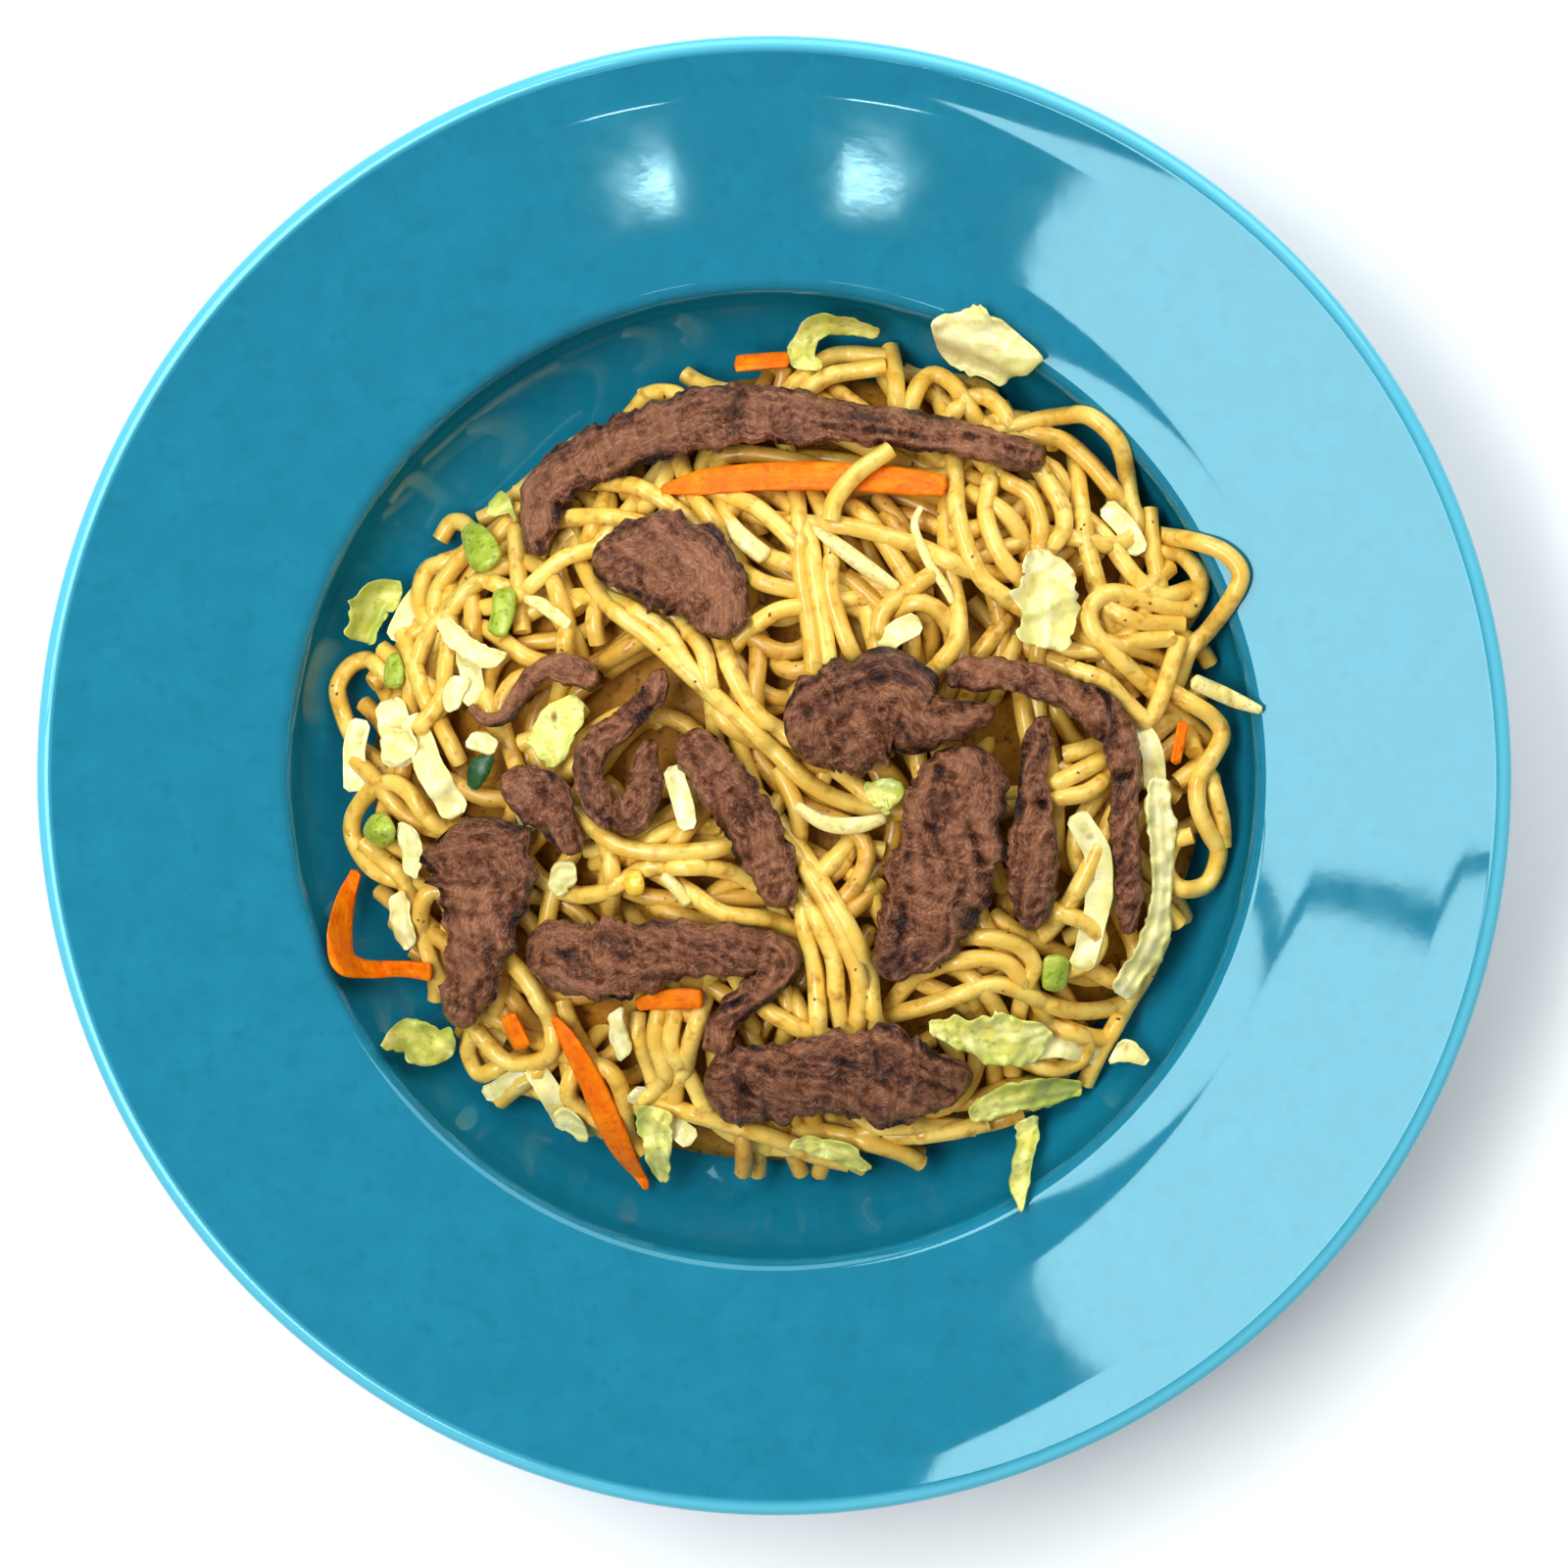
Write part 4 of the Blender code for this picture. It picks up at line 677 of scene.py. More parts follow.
def new_group(name, inputs, outputs):
    """A shader node group with its sockets, and its input and output nodes."""
    tree = bpy.data.node_groups.new(name, "ShaderNodeTree")
    for label, kind, value in inputs:
        socket = tree.interface.new_socket(label, in_out="INPUT", socket_type=kind)
        socket.default_value = value
    for label, kind in outputs:
        tree.interface.new_socket(label, in_out="OUTPUT", socket_type=kind)
    return tree, tree.nodes.new("NodeGroupInput").outputs, tree.nodes.new("NodeGroupOutput").inputs


def blend(tree, share, first, second):
    """A colour that goes from the first to the second as the share goes from 0 to 1."""
    inputs = {0: share, 6: first, 7: second}
    return add_node(tree, "ShaderNodeMix", inputs, data_type="RGBA").outputs[2]


def ramp(tree, value, low, high, end=1.0):
    """A value from 0 to the end while the given one goes from low to high."""
    inputs = {"Value": value, "From Min": low, "From Max": high, "To Max": end}
    return add_node(tree, "ShaderNodeMapRange", inputs).outputs[0]


def times(tree, first, second):
    return add_node(tree, "ShaderNodeMath", {0: first, 1: second}, operation="MULTIPLY").outputs[0]


def place_of(tree):
    return add_node(tree, "ShaderNodeTexCoord").outputs["Object"]


def mottle_group():
    """Soft patches of a second and a third colour over the first, by Object coordinates."""
    colour, number = "NodeSocketColor", "NodeSocketFloat"
    tree, given, out = new_group("Mottling", [
        ("Base", colour, (1, 1, 1, 1)), ("Light", colour, (1, 1, 1, 1)),
        ("Dark", colour, (0, 0, 0, 1)), ("Scale", number, 200.0)],
        [("Color", colour), ("Mask", number)])
    place = place_of(tree)
    patches = add_node(tree, "ShaderNodeTexNoise", {
        "Vector": place, "Scale": given["Scale"], "Detail": 5.0, "Roughness": 0.6}).outputs["Fac"]
    spots = add_node(tree, "ShaderNodeTexNoise", {
        "Vector": place, "Scale": times(tree, given["Scale"], 2.3), "Detail": 3.0}).outputs["Fac"]
    lighter = blend(tree, ramp(tree, patches, 0.42, 0.66), given["Base"], given["Light"])
    darker = blend(tree, ramp(tree, spots, 0.54, 0.74), lighter, given["Dark"])
    tree.links.new(darker, out["Color"])
    tree.links.new(patches, out["Mask"])
    return tree


def fibre_group():
    """Fibres that follow the piece, by its own grain map, as a height and a mask."""
    number = "NodeSocketFloat"
    tree, given, out = new_group("Fibres", [("Along", number, 1.0), ("Across", number, 20.0)],
                                 [("Height", number), ("Mask", number)])
    place = add_node(tree, "ShaderNodeUVMap", uv_map="grain").outputs[0]
    stretch = add_node(tree, "ShaderNodeCombineXYZ",
                       {0: given["Along"], 1: given["Across"], 2: 1.0}).outputs[0]
    moved = add_node(tree, "ShaderNodeVectorMath", {0: place, 1: stretch}, operation="MULTIPLY")
    lines = add_node(tree, "ShaderNodeTexNoise", {
        "Vector": moved.outputs[0], "Scale": 1.0, "Detail": 4.0, "Roughness": 0.65,
        "Distortion": 0.4}).outputs["Fac"]
    tree.links.new(lines, out["Height"])
    tree.links.new(ramp(tree, lines, 0.5, 0.72), out["Mask"])
    return tree


def speck_group():
    """Small round specks, one here and there, as a mask."""
    number = "NodeSocketFloat"
    tree, given, out = new_group("Specks", [("Scale", number, 400.0), ("Share", number, 0.1)],
                                 [("Mask", number)])
    cells = add_node(tree, "ShaderNodeTexVoronoi", {
        "Vector": place_of(tree), "Scale": given["Scale"], "Randomness": 1.0}).outputs
    near = add_node(tree, "ShaderNodeMath", {
        0: times(tree, given["Share"], 3.2), 1: cells["Distance"]}, operation="SUBTRACT")
    pick = add_node(tree, "ShaderNodeSeparateColor", {0: cells["Color"]})
    some = add_node(tree, "ShaderNodeMath", {0: pick.outputs[0], 1: 0.45}, operation="GREATER_THAN")
    soft = ramp(tree, near.outputs[0], 0.0, 0.12)
    tree.links.new(times(tree, soft, some.outputs[0]), out["Mask"])
    return tree


def oil_group():
    """Roughness that changes between oily and dry patches."""
    number = "NodeSocketFloat"
    tree, given, out = new_group("Oil", [
        ("Scale", number, 300.0), ("Oily", number, 0.15), ("Dry", number, 0.4)],
        [("Roughness", number)])
    patches = add_node(tree, "ShaderNodeTexNoise", {
        "Vector": place_of(tree), "Scale": given["Scale"], "Detail": 3.0})
    value = add_node(tree, "ShaderNodeMapRange", {
        "Value": patches.outputs["Fac"], "From Min": 0.35, "From Max": 0.65,
        "To Min": given["Oily"], "To Max": given["Dry"]})
    tree.links.new(value.outputs[0], out["Roughness"])
    return tree


EFFECT_BUILDERS = {
    "mottle": mottle_group, "fibre": fibre_group, "speck": speck_group, "oil": oil_group,
}
EFFECTS = {}
MATERIALS = {}


def effect(tree, name, **values):
    """A shared node group, built once and placed in a material with its own values."""
    if name not in EFFECTS:
        EFFECTS[name] = EFFECT_BUILDERS[name]()
    node = add_node(tree, "ShaderNodeGroup", node_tree=EFFECTS[name])
    for label, value in values.items():
        node.inputs[label].default_value = value
    return node.outputs


def own_colour(tree, name, colour, light, dark):
    """What one finish alone has: seared beef with painted shade in its creases and painted highlight on its
    ridges, greener edges, a thin lip or tinted noodles.
    """
    if name == "beef":
        tone = add_node(tree, "ShaderNodeAttribute", attribute_name="tone").outputs["Fac"]
        # Beef: lighter towards high tone as painted highlight on ridges, darker towards low tone as painted
        # shade in creases and as char at the edges.
        lit = blend(tree, ramp(tree, tone, 0.5, 1.0), colour, light)
        return blend(tree, ramp(tree, tone, 0.42, 0.0), lit, dark)
    if name.startswith("cabbage"):
        tone = add_node(tree, "ShaderNodeAttribute", attribute_name="tone").outputs["Fac"]
        return blend(tree, ramp(tree, tone, 0.35, 1.0, 0.75), colour, dark)
    if name == "glaze":
        flat = add_node(tree, "ShaderNodeVectorMath", {0: place_of(tree), 1: (1, 1, 0)},
                        operation="MULTIPLY").outputs[0]
        out = add_node(tree, "ShaderNodeVectorMath", {0: flat}, operation="LENGTH")
        thin = ramp(tree, out.outputs["Value"], LIP_START * MM, (LIP_START + LIP_FADE) * MM)
        return blend(tree, thin, colour, (*linear(LIP_GLAZE), 1))
    if name.startswith("noodle"):
        tint = add_node(tree, "ShaderNodeAttribute", attribute_name="tint").outputs["Fac"]
        return blend(tree, times(tree, tint, 0.55), colour, dark)
    return colour


def finish(name):
    """The material of one finish, built once."""
    if name in MATERIALS:
        return MATERIALS[name]
    base, light, dark, patch, fibre, specks, rough, bump_depth, let_in = FINISHES[name]
    main = getattr(bpy.context.scene.noodle_dish, name + "_colour", None) or linear(base)
    light, dark = (*linear(light), 1), (*linear(dark), 1)
    material = bpy.data.materials.new(name + "_finish")
    material.use_nodes = True
    tree = material.node_tree
    shader = tree.nodes["Principled BSDF"].inputs
    mottle = effect(tree, "mottle", Base=(*main, 1), Light=light, Dark=dark, Scale=1000 / patch)
    colour = mottle["Color"]
    bump = add_node(tree, "ShaderNodeBump", {
        "Height": mottle["Mask"], "Strength": 1.0, "Distance": bump_depth * MM})
    if fibre:
        lines = effect(tree, "fibre", Along=10 / fibre[0], Across=10 / fibre[1])
        colour = blend(tree, times(tree, lines["Mask"], 0.45), colour, light)
        bump = add_node(tree, "ShaderNodeBump", {
            "Height": lines["Height"], "Strength": 1.0, "Distance": fibre[2] * MM,
            "Normal": bump.outputs[0]})
    if specks:
        dots = effect(tree, "speck", Scale=1000 / specks[0], Share=specks[1])
        colour = blend(tree, dots["Mask"], colour, (*linear(specks[2]), 1))
    oil = effect(tree, "oil", Oily=rough[0], Dry=rough[1], Scale=1600 / patch)
    tree.links.new(own_colour(tree, name, colour, light, dark), shader["Base Color"])
    tree.links.new(oil["Roughness"], shader["Roughness"])
    tree.links.new(bump.outputs[0], shader["Normal"])
    if name == "glaze":
        shader["IOR"].default_value = GLAZE_IOR
        shader["Specular Tint"].default_value = GLAZE_SHINE
    if name in LOW_SHINE:
        shader["Specular IOR Level"].default_value = LOW_SHINE[name]
    shader["Metallic"].default_value = 0.0
    shader["Subsurface Weight"].default_value = let_in
    shader["Subsurface Radius"].default_value = (1.0, 0.6, 0.25)
    shader["Subsurface Scale"].default_value = 0.0018
    MATERIALS[name] = material
    return material


def settle(piece, node):
    """Puts a finished piece on the one body, in place of its solid."""
    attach(piece, "root")
    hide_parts(node)


def topping_discs():
    """Discs of (x, y, radius, height) that together cover every topping, seen from above."""
    discs = []
    for runs in BEEF.values():
        for thickness, route in runs:
            discs += [(x, y, w / 2, thickness * min(1.0, 0.45 + w / 14)) for x, y, w in smooth_route(route, 1.2)]
    for route in CARROT.values():
        discs += [(x, y, w / 2, CARROT_THICKNESS) for x, y, w in smooth_route(route, 1.2)]
    for _, wave, route in LEAF.values():
        discs += [(x, y, w / 2, wave + 1) for x, y, w in smooth_route(route, 1.2)]
    for _, share, route in STICK.values():
        discs += [(x, y, w / 2, share * w) for x, y, w in smooth_route(route, 1.2)]
    return discs


def strand_line(numbers):
    """Points of a strand from its run of x, y pairs, one millimetre apart."""
    pairs = np.array(numbers, float).reshape(-1, 2)
    return smooth_route(np.column_stack([pairs, np.zeros(len(pairs))]), 1.0)[:, :2]


def random_strand(rng, layer):
    """One buried noodle: it starts anywhere in the heap and follows the slow swirls of its layer."""
    out, turn = 84 * math.sqrt(rng.random()), rng.random() * 2 * math.pi
    place = np.array([out * math.cos(turn), out * math.sin(turn)])
    bend, sign, line = rng.normal(0, 0.016), rng.choice((-1, 1)), []
    drift = rng.normal(0, 0.4)
    for i in range(int(rng.uniform(60, 150))):
        swirl = noise.noise(Vector((place[0] / 30, place[1] / 30, 3.1 * layer)))
        heading = 3.6 * swirl + 1.3 * layer + drift + bend * i
        place = place + sign * np.array([math.cos(heading), math.sin(heading)])
        if np.hypot(*place) > heap_edge(math.atan2(place[1], place[0])) - 1.0:
            break
        line.append(place)
    return np.array(line)


def dive(path, rng):
    """Carries a strand on at both ends, where it bends down under its neighbours.

    An end that would come out of the heap's side stays as it is, cut off and in sight.
    """
    for _ in range(2):
        path = path[::-1]
        ahead = path[-1, :2] - path[-4, :2]
        heading, bend = math.atan2(ahead[1], ahead[0]), rng.normal(0, 0.05)
        x, y, z = path[-1]
        sunk, added = 0.0, []
        for i in range(DIVE_LENGTH):
            heading += bend
            x, y = x + math.cos(heading), y + math.sin(heading)
            sunk = min(DIVE_DEPTH, sunk + DIVE_SLOPE * min(1.0, (i + 1) / 5))
            level = min(z, float(HEAP_MAP.at(x, y)) + 1.5) - sunk
            outside = math.hypot(x, y) > heap_edge(math.atan2(y, x)) - 3
            if outside or level < float(PLATE_MAP.at(x, y)) + 2:
                break
            added.append((x, y, level))
        if len(added) > 6:
            path = np.concatenate([path, added])
    return path


def sink_ends(path, radius):
    """The same path with both ends bent down out of sight, but never into the plate."""
    count = np.arange(len(path))
    near = np.clip(1 - np.minimum(count, count[::-1]) / END_REACH, 0, 1)
    inside = heap_edge(np.arctan2(path[:, 1], path[:, 0])) - np.hypot(path[:, 0], path[:, 1])
    near = near * np.clip((inside - 4) / 10, 0, 1)
    low = PLATE_MAP.at(path[:, 0], path[:, 1]) + radius * 1.35
    level = np.maximum(path[:, 2] - END_SINK * near ** 1.5, np.minimum(low, path[:, 2]))
    return np.column_stack([path[:, :2], level])


def lay_strand(line, top, ceiling, radius, rng, over=False, buried=False):
    """Heights of a strand that rests on what is below it, eased along its length.

    It gives the strand's runs. A buried strand has none where it finds no room under the toppings.
    """
    x, y = line[:, 0], line[:, 1]
    rest = top.at(x, y)
    for dx, dy in ((1.1, 0), (-1.1, 0), (0, 1.1), (0, -1.1)):
        rest = np.maximum(rest, top.at(x + dx, y + dy) - 0.35)
    rest = rest + radius * 0.86
    wide = np.array([rest[max(0, i - 4):i + 5].max() for i in range(len(rest))])
    weights = np.hanning(11) + 0.02
    padded = np.pad(0.6 * wide + 0.4 * rest, 5, mode="edge")
    z = np.convolve(padded, weights / weights.sum(), mode="valid")
    z = z + 0.35 * np.sin(np.arange(len(z)) / 11 + rng.uniform(0, 6)) ** 2
    kept = np.ones(len(z), bool)
    if not over:
        free = z
        z = np.minimum(z, HEAP_MAP.at(x, y) + OPEN_RISE - radius)
        z = np.minimum(z, ceiling.at(x, y) - radius)
        if buried:
            kept = free - z < PRESSED_MOST
    out = np.hypot(x, y)
    for side in (-1, -0.5, 0, 0.5, 1):
        reach = 1 + side * radius / (out + 1e-6)
        wall = PLATE_MAP.at(x * reach, y * reach)
        z = np.maximum(z, wall + radius * math.sqrt(max(0, 1 - side ** 2)) + PLATE_CLEARANCE)
    smooth = np.convolve(np.pad(z, 2, mode="edge"), np.ones(5) / 5, mode="valid")
    z = np.maximum(smooth, z - 0.3)
    for px, py, pz in zip(x[kept], y[kept], z[kept]):
        top.stamp(px, py, radius, lambda away: pz + np.sqrt(np.maximum(0, radius ** 2 - away)))
    breaks = np.flatnonzero(np.diff(kept.astype(int))) + 1
    path = np.column_stack([x, y, z])
    return [run for run, inside in zip(np.split(path, breaks), np.split(kept, breaks))
            if inside[0] and len(run) >= SHORTEST_RUN]


def build_strands(radius, layers, per_layer, seed):
    """Paths from the deepest up: buried noodles and showing ones with their tints, shreds with widths."""
    rng = np.random.default_rng(seed)
    core = np.maximum(HEAP_MAP.values - CORE_DROP, PLATE_MAP.values)
    top = HeightMap(core.copy())
    ceiling = np.full(core.shape, 1000.0)
    covered = HeightMap(np.zeros(core.shape))
    for x, y, half, _ in topping_discs():
        covered.stamp(x, y, half + 1.3, lambda away: np.ones_like(away))
    ceiling[covered.values > 0] = (BED_MAP.values + TOPPING_GAP + 0.1)[covered.values > 0]
    ceiling = HeightMap(ceiling)
    buried, shreds, showing = [], [], []
    for layer in range(layers):
        for _ in range(per_layer):
            line = random_strand(rng, layer)
            if len(line) < 14:
                continue
            tint = rng.random()
            runs = lay_strand(line, top, ceiling, radius, rng, buried=True)
            buried += [(sink_ends(run, radius)[::2], tint) for run in runs]
    for width, numbers in SHREDS:
        shreds += [(run, width) for run in lay_strand(strand_line(numbers), top, ceiling, SHRED_THICKNESS, rng)]
    for numbers in TOP_STRANDS:
        for run in lay_strand(strand_line(numbers), top, ceiling, radius, rng):
            showing.append((dive(run, rng), rng.random() * 0.6))
    for x, y, half, high in topping_discs():
        base = float(BED_MAP.at(x, y)) + TOPPING_GAP
        top.stamp(x, y, half, lambda away: base + high * np.sqrt(np.maximum(0, 1 - away / half ** 2)))
    for numbers in CROSSING_STRANDS:
        showing += [(run, 0.2) for run in lay_strand(strand_line(numbers), top, ceiling, radius, rng, over=True)]
    return buried, shreds, showing


def noodle_tree():
    """Sweeps a soft-cornered square section along each strand."""
    tree = bpy.data.node_groups.new("Noodle sweep", "GeometryNodeTree")
    tree.interface.new_socket("Strands", in_out="INPUT", socket_type="NodeSocketGeometry")
    names = {}
    for label, kind in (("Thickness", "NodeSocketFloat"), ("Corner", "NodeSocketFloat"),
                        ("Finish", "NodeSocketMaterial")):
        names[label] = tree.interface.new_socket(label, in_out="INPUT", socket_type=kind).identifier
    tree.interface.new_socket("Noodles", in_out="OUTPUT", socket_type="NodeSocketGeometry")
    given = tree.nodes.new("NodeGroupInput").outputs
    path = add_node(tree, "GeometryNodeMeshToCurve", {0: given["Strands"]})
    square = add_node(tree, "GeometryNodeCurvePrimitiveQuadrilateral",
                      {"Width": given["Thickness"], "Height": given["Thickness"]})
    soft = add_node(tree, "GeometryNodeFilletCurve", {"Curve": square.outputs[0], "Radius": given["Corner"],
                                                      "Count": 1}, mode="POLY")
    body = add_node(tree, "GeometryNodeCurveToMesh", {"Curve": path.outputs[0],
                                                      "Profile Curve": soft.outputs[0], "Fill Caps": True})
    plain = add_node(tree, "GeometryNodeRealizeInstances", {0: body.outputs[0]})
    dressed = add_node(tree, "GeometryNodeSetMaterial", {"Geometry": plain.outputs[0],
                                                         "Material": given["Finish"]})
    result = tree.nodes.new("NodeGroupOutput")
    tree.links.new(dressed.outputs[0], result.inputs[0])
    return tree, names


def sweep_strands(name, strands, material, settings):
    """One mesh of all the given noodles, swept by the node tree and then made plain."""
    mesh = bpy.data.meshes.new(name)
    points, edges, tints = [], [], []
    for path, tint in strands:
        start = len(points)
        points += (path * MM).tolist()
        edges += [(start + i, start + i + 1) for i in range(len(path) - 1)]
        tints += [tint] * len(path)
    mesh.from_pydata(points, edges, [])
    mesh.attributes.new("tint", "FLOAT", "POINT").data.foreach_set("value", tints)
    obj = bpy.data.objects.new(name, mesh)
    bpy.context.scene.collection.objects.link(obj)
    tree, names = noodle_tree()
    sweep = obj.modifiers.new("sweep", "NODES")
    sweep.node_group = tree
    sweep[names["Thickness"]] = settings.noodle_thickness
    sweep[names["Corner"]] = settings.noodle_thickness * 0.34
    sweep[names["Finish"]] = material
    make_plain(obj, material)
    return obj


def make_plain(obj, material):
    """Replaces an object's live node tree by the mesh that it gives."""
    bpy.context.view_layer.update()
    ready = obj.evaluated_get(bpy.context.evaluated_depsgraph_get())
    mesh = bpy.data.meshes.new_from_object(ready)
    obj.modifiers.clear()
    obj.data = mesh
    mesh.materials.clear()
    mesh.materials.append(material)
    mesh.shade_smooth()


def crumb_tree():
    """Scatters small rounded crumbs over a surface."""
    tree = bpy.data.node_groups.new("Crumb scatter", "GeometryNodeTree")
    tree.interface.new_socket("Surface", in_out="INPUT", socket_type="NodeSocketGeometry")
    names = {}
    for label, kind in (("Density", "NodeSocketFloat"), ("Size", "NodeSocketFloat"), ("Seed", "NodeSocketInt"),
                        ("Finish", "NodeSocketMaterial")):
        names[label] = tree.interface.new_socket(label, in_out="INPUT", socket_type=kind).identifier
    tree.interface.new_socket("Crumbs", in_out="OUTPUT", socket_type="NodeSocketGeometry")
    given = tree.nodes.new("NodeGroupInput").outputs
    facing = add_node(tree, "ShaderNodeSeparateXYZ", {0: tree.nodes.new("GeometryNodeInputNormal").outputs[0]})
    upward = add_node(tree, "FunctionNodeCompare", {0: facing.outputs["Z"], 1: 0.55}, operation="GREATER_THAN")
    spots = add_node(tree, "GeometryNodeDistributePointsOnFaces",
                     {"Mesh": given["Surface"], "Selection": upward.outputs[0], "Density": given["Density"],
                      "Seed": given["Seed"]})
    crumb = add_node(tree, "GeometryNodeMeshIcoSphere", {"Radius": given["Size"], "Subdivisions": 2})
    spin = add_node(tree, "FunctionNodeRandomValue", {"Max": (6.28, 6.28, 6.28), "Seed": given["Seed"]},
                    data_type="FLOAT_VECTOR")
    grow = add_node(tree, "FunctionNodeRandomValue", {"Min": (0.4, 0.35, 0.3), "Max": (1.5, 0.9, 0.7),
                                                      "Seed": given["Seed"]}, data_type="FLOAT_VECTOR")
    placed = add_node(tree, "GeometryNodeInstanceOnPoints",
                      {"Points": spots.outputs["Points"], "Instance": crumb.outputs["Mesh"],
                       "Rotation": spin.outputs["Value"], "Scale": grow.outputs["Value"]})
    plain = add_node(tree, "GeometryNodeRealizeInstances", {0: placed.outputs[0]})
    dressed = add_node(tree, "GeometryNodeSetMaterial", {"Geometry": plain.outputs[0],
                                                         "Material": given["Finish"]})
    result = tree.nodes.new("NodeGroupOutput")
    tree.links.new(dressed.outputs[0], result.inputs[0])
    return tree, names


class NoodleDishSettings(PropertyGroup):
    """Sizes and colours of the dish."""
    noodle_thickness: FloatProperty(name="Noodle thickness", description="Width of one cooked noodle",
                                    default=0.0034, unit="LENGTH")
    noodle_layers: IntProperty(name="Noodle layers", description="Layers of noodles under those that show",
                               default=3, min=1, max=6)
    noodles_per_layer: IntProperty(name="Noodles per layer", description="Noodles in each buried layer",
                                   default=112, min=10, max=300)
    tangle_seed: IntProperty(name="Tangle seed", description="Picks one tangle of the buried noodles", default=7)
    crumb_size: FloatProperty(name="Crumb size", description="Radius of a browned crumb", default=0.00042,
                              unit="LENGTH")
    plate_steps: IntProperty(name="Plate steps", description="Steps around the plate", default=256, min=48)
    glaze_colour: FloatVectorProperty(name="Glaze", description="Colour of the plate's glaze", size=3,
                                      subtype="COLOR", default=linear(FINISHES["glaze"][0]))
    noodle_colour: FloatVectorProperty(name="Noodles", description="Colour of the noodles that show", size=3,
                                       subtype="COLOR", default=linear(FINISHES["noodle"][0]))
    beef_colour: FloatVectorProperty(name="Beef", description="Colour of the seared beef", size=3,
                                     subtype="COLOR", default=linear(FINISHES["beef"][0]))
    carrot_colour: FloatVectorProperty(name="Carrot", description="Colour of the carrot sticks", size=3,
                                       subtype="COLOR", default=linear(FINISHES["carrot"][0]))
    cabbage_colour: FloatVectorProperty(name="Cabbage", description="Colour of the cooked cabbage", size=3,
                                        subtype="COLOR", default=linear(FINISHES["cabbage"][0]))
    softbox_power: FloatProperty(name="Softbox power", description="Power of the large light", default=11.0,
                                 unit="POWER")
    camera_distance: FloatProperty(name="Camera distance", description="From the rim to the camera",
                                   default=0.8, unit="LENGTH")


class DISH_OT_plate(Operator):
    """Turns the glazed plate, with a rounded shoulder, lip and foot"""
    bl_idname = "noodle_dish.plate"
    bl_label = "Plate"

    def execute(self, context):
        steps = context.scene.noodle_dish.plate_steps
        profile = np.array(plate_profile())
        angle = 2 * math.pi * np.arange(steps) / steps
        ring = profile[1:-1]
        vertices = np.stack([ring[:, 0:1] * np.cos(angle), ring[:, 0:1] * np.sin(angle),
                             np.broadcast_to(ring[:, 1:2], (len(ring), steps))], -1).reshape(-1, 3)
        vertices = np.concatenate([[(0, 0, profile[0, 1]), (0, 0, profile[-1, 1])], vertices])
        faces, last = [], 2 + (len(ring) - 1) * steps
        for k in range(steps):
            following = (k + 1) % steps
            faces += [(0, 2 + k, 2 + following), (1, last + following, last + k)]
            for i in range(len(ring) - 1):
                row = 2 + i * steps
                faces.append((row + k, row + steps + k, row + steps + following, row + following))
        piece = new_mesh_object("glazed_plate", vertices, faces, finish("glaze"))
        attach(piece, "root")
        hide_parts(*[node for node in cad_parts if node.startswith("plate")])
        return {"FINISHED"}


def plate_profile():
    """The plate's whole section at fine steps, from the axis over the rim and back under."""
    rim_end = WELL_TOP + SHOULDER_ROUND + RIM_RISE
    well = ellipse_arc((FLOOR_RADIUS, WELL_TOP), WELL_RADIUS - FLOOR_RADIUS, WELL_TOP - FLOOR_TOP,
                       -90, 0, 30)
    shoulder = ellipse_arc((WELL_RADIUS + SHOULDER_ROUND, WELL_TOP), SHOULDER_ROUND, SHOULDER_ROUND,
                           174, 100, 9)
    rim = [(98.5 + (RIM_OUTER - 98.5) * t, 34.7 + (rim_end - 34.7) * t ** 1.08) for t in np.linspace(0, 1, 12)]
    lip = ellipse_arc((137.7, rim_end - 0.5), 2.3, 1.7, 120, -60, 12)
    outer = ellipse_arc((FOOT_OUTER, WELL_TOP), WELL_RADIUS + WALL - FOOT_OUTER, WELL_TOP - FLOOR_BOTTOM,
                        -8, -90, 24)
    under = WELL_RADIUS + SHOULDER_ROUND
    knee = [(under + 5.5, WELL_TOP + 0.7), (under + 2.0, WELL_TOP - 0.9)]
    foot = [(FOOT_OUTER - 0.3, 1.2), (FOOT_OUTER - 1.2, 0.0), (FOOT_INNER + 0.5, 0.0), (FOOT_INNER - 0.6, 1.0),
            (FOOT_INNER - 1.5, FLOOR_BOTTOM - 0.5)]
    floor = [(r, FLOOR_TOP) for r in (20.0, 40.0)]
    return ([(0.0, FLOOR_TOP)] + floor + well + shoulder[1:] + rim[1:-1] + lip + knee + outer + foot
            + [(0.0, FLOOR_BOTTOM - 0.5)])


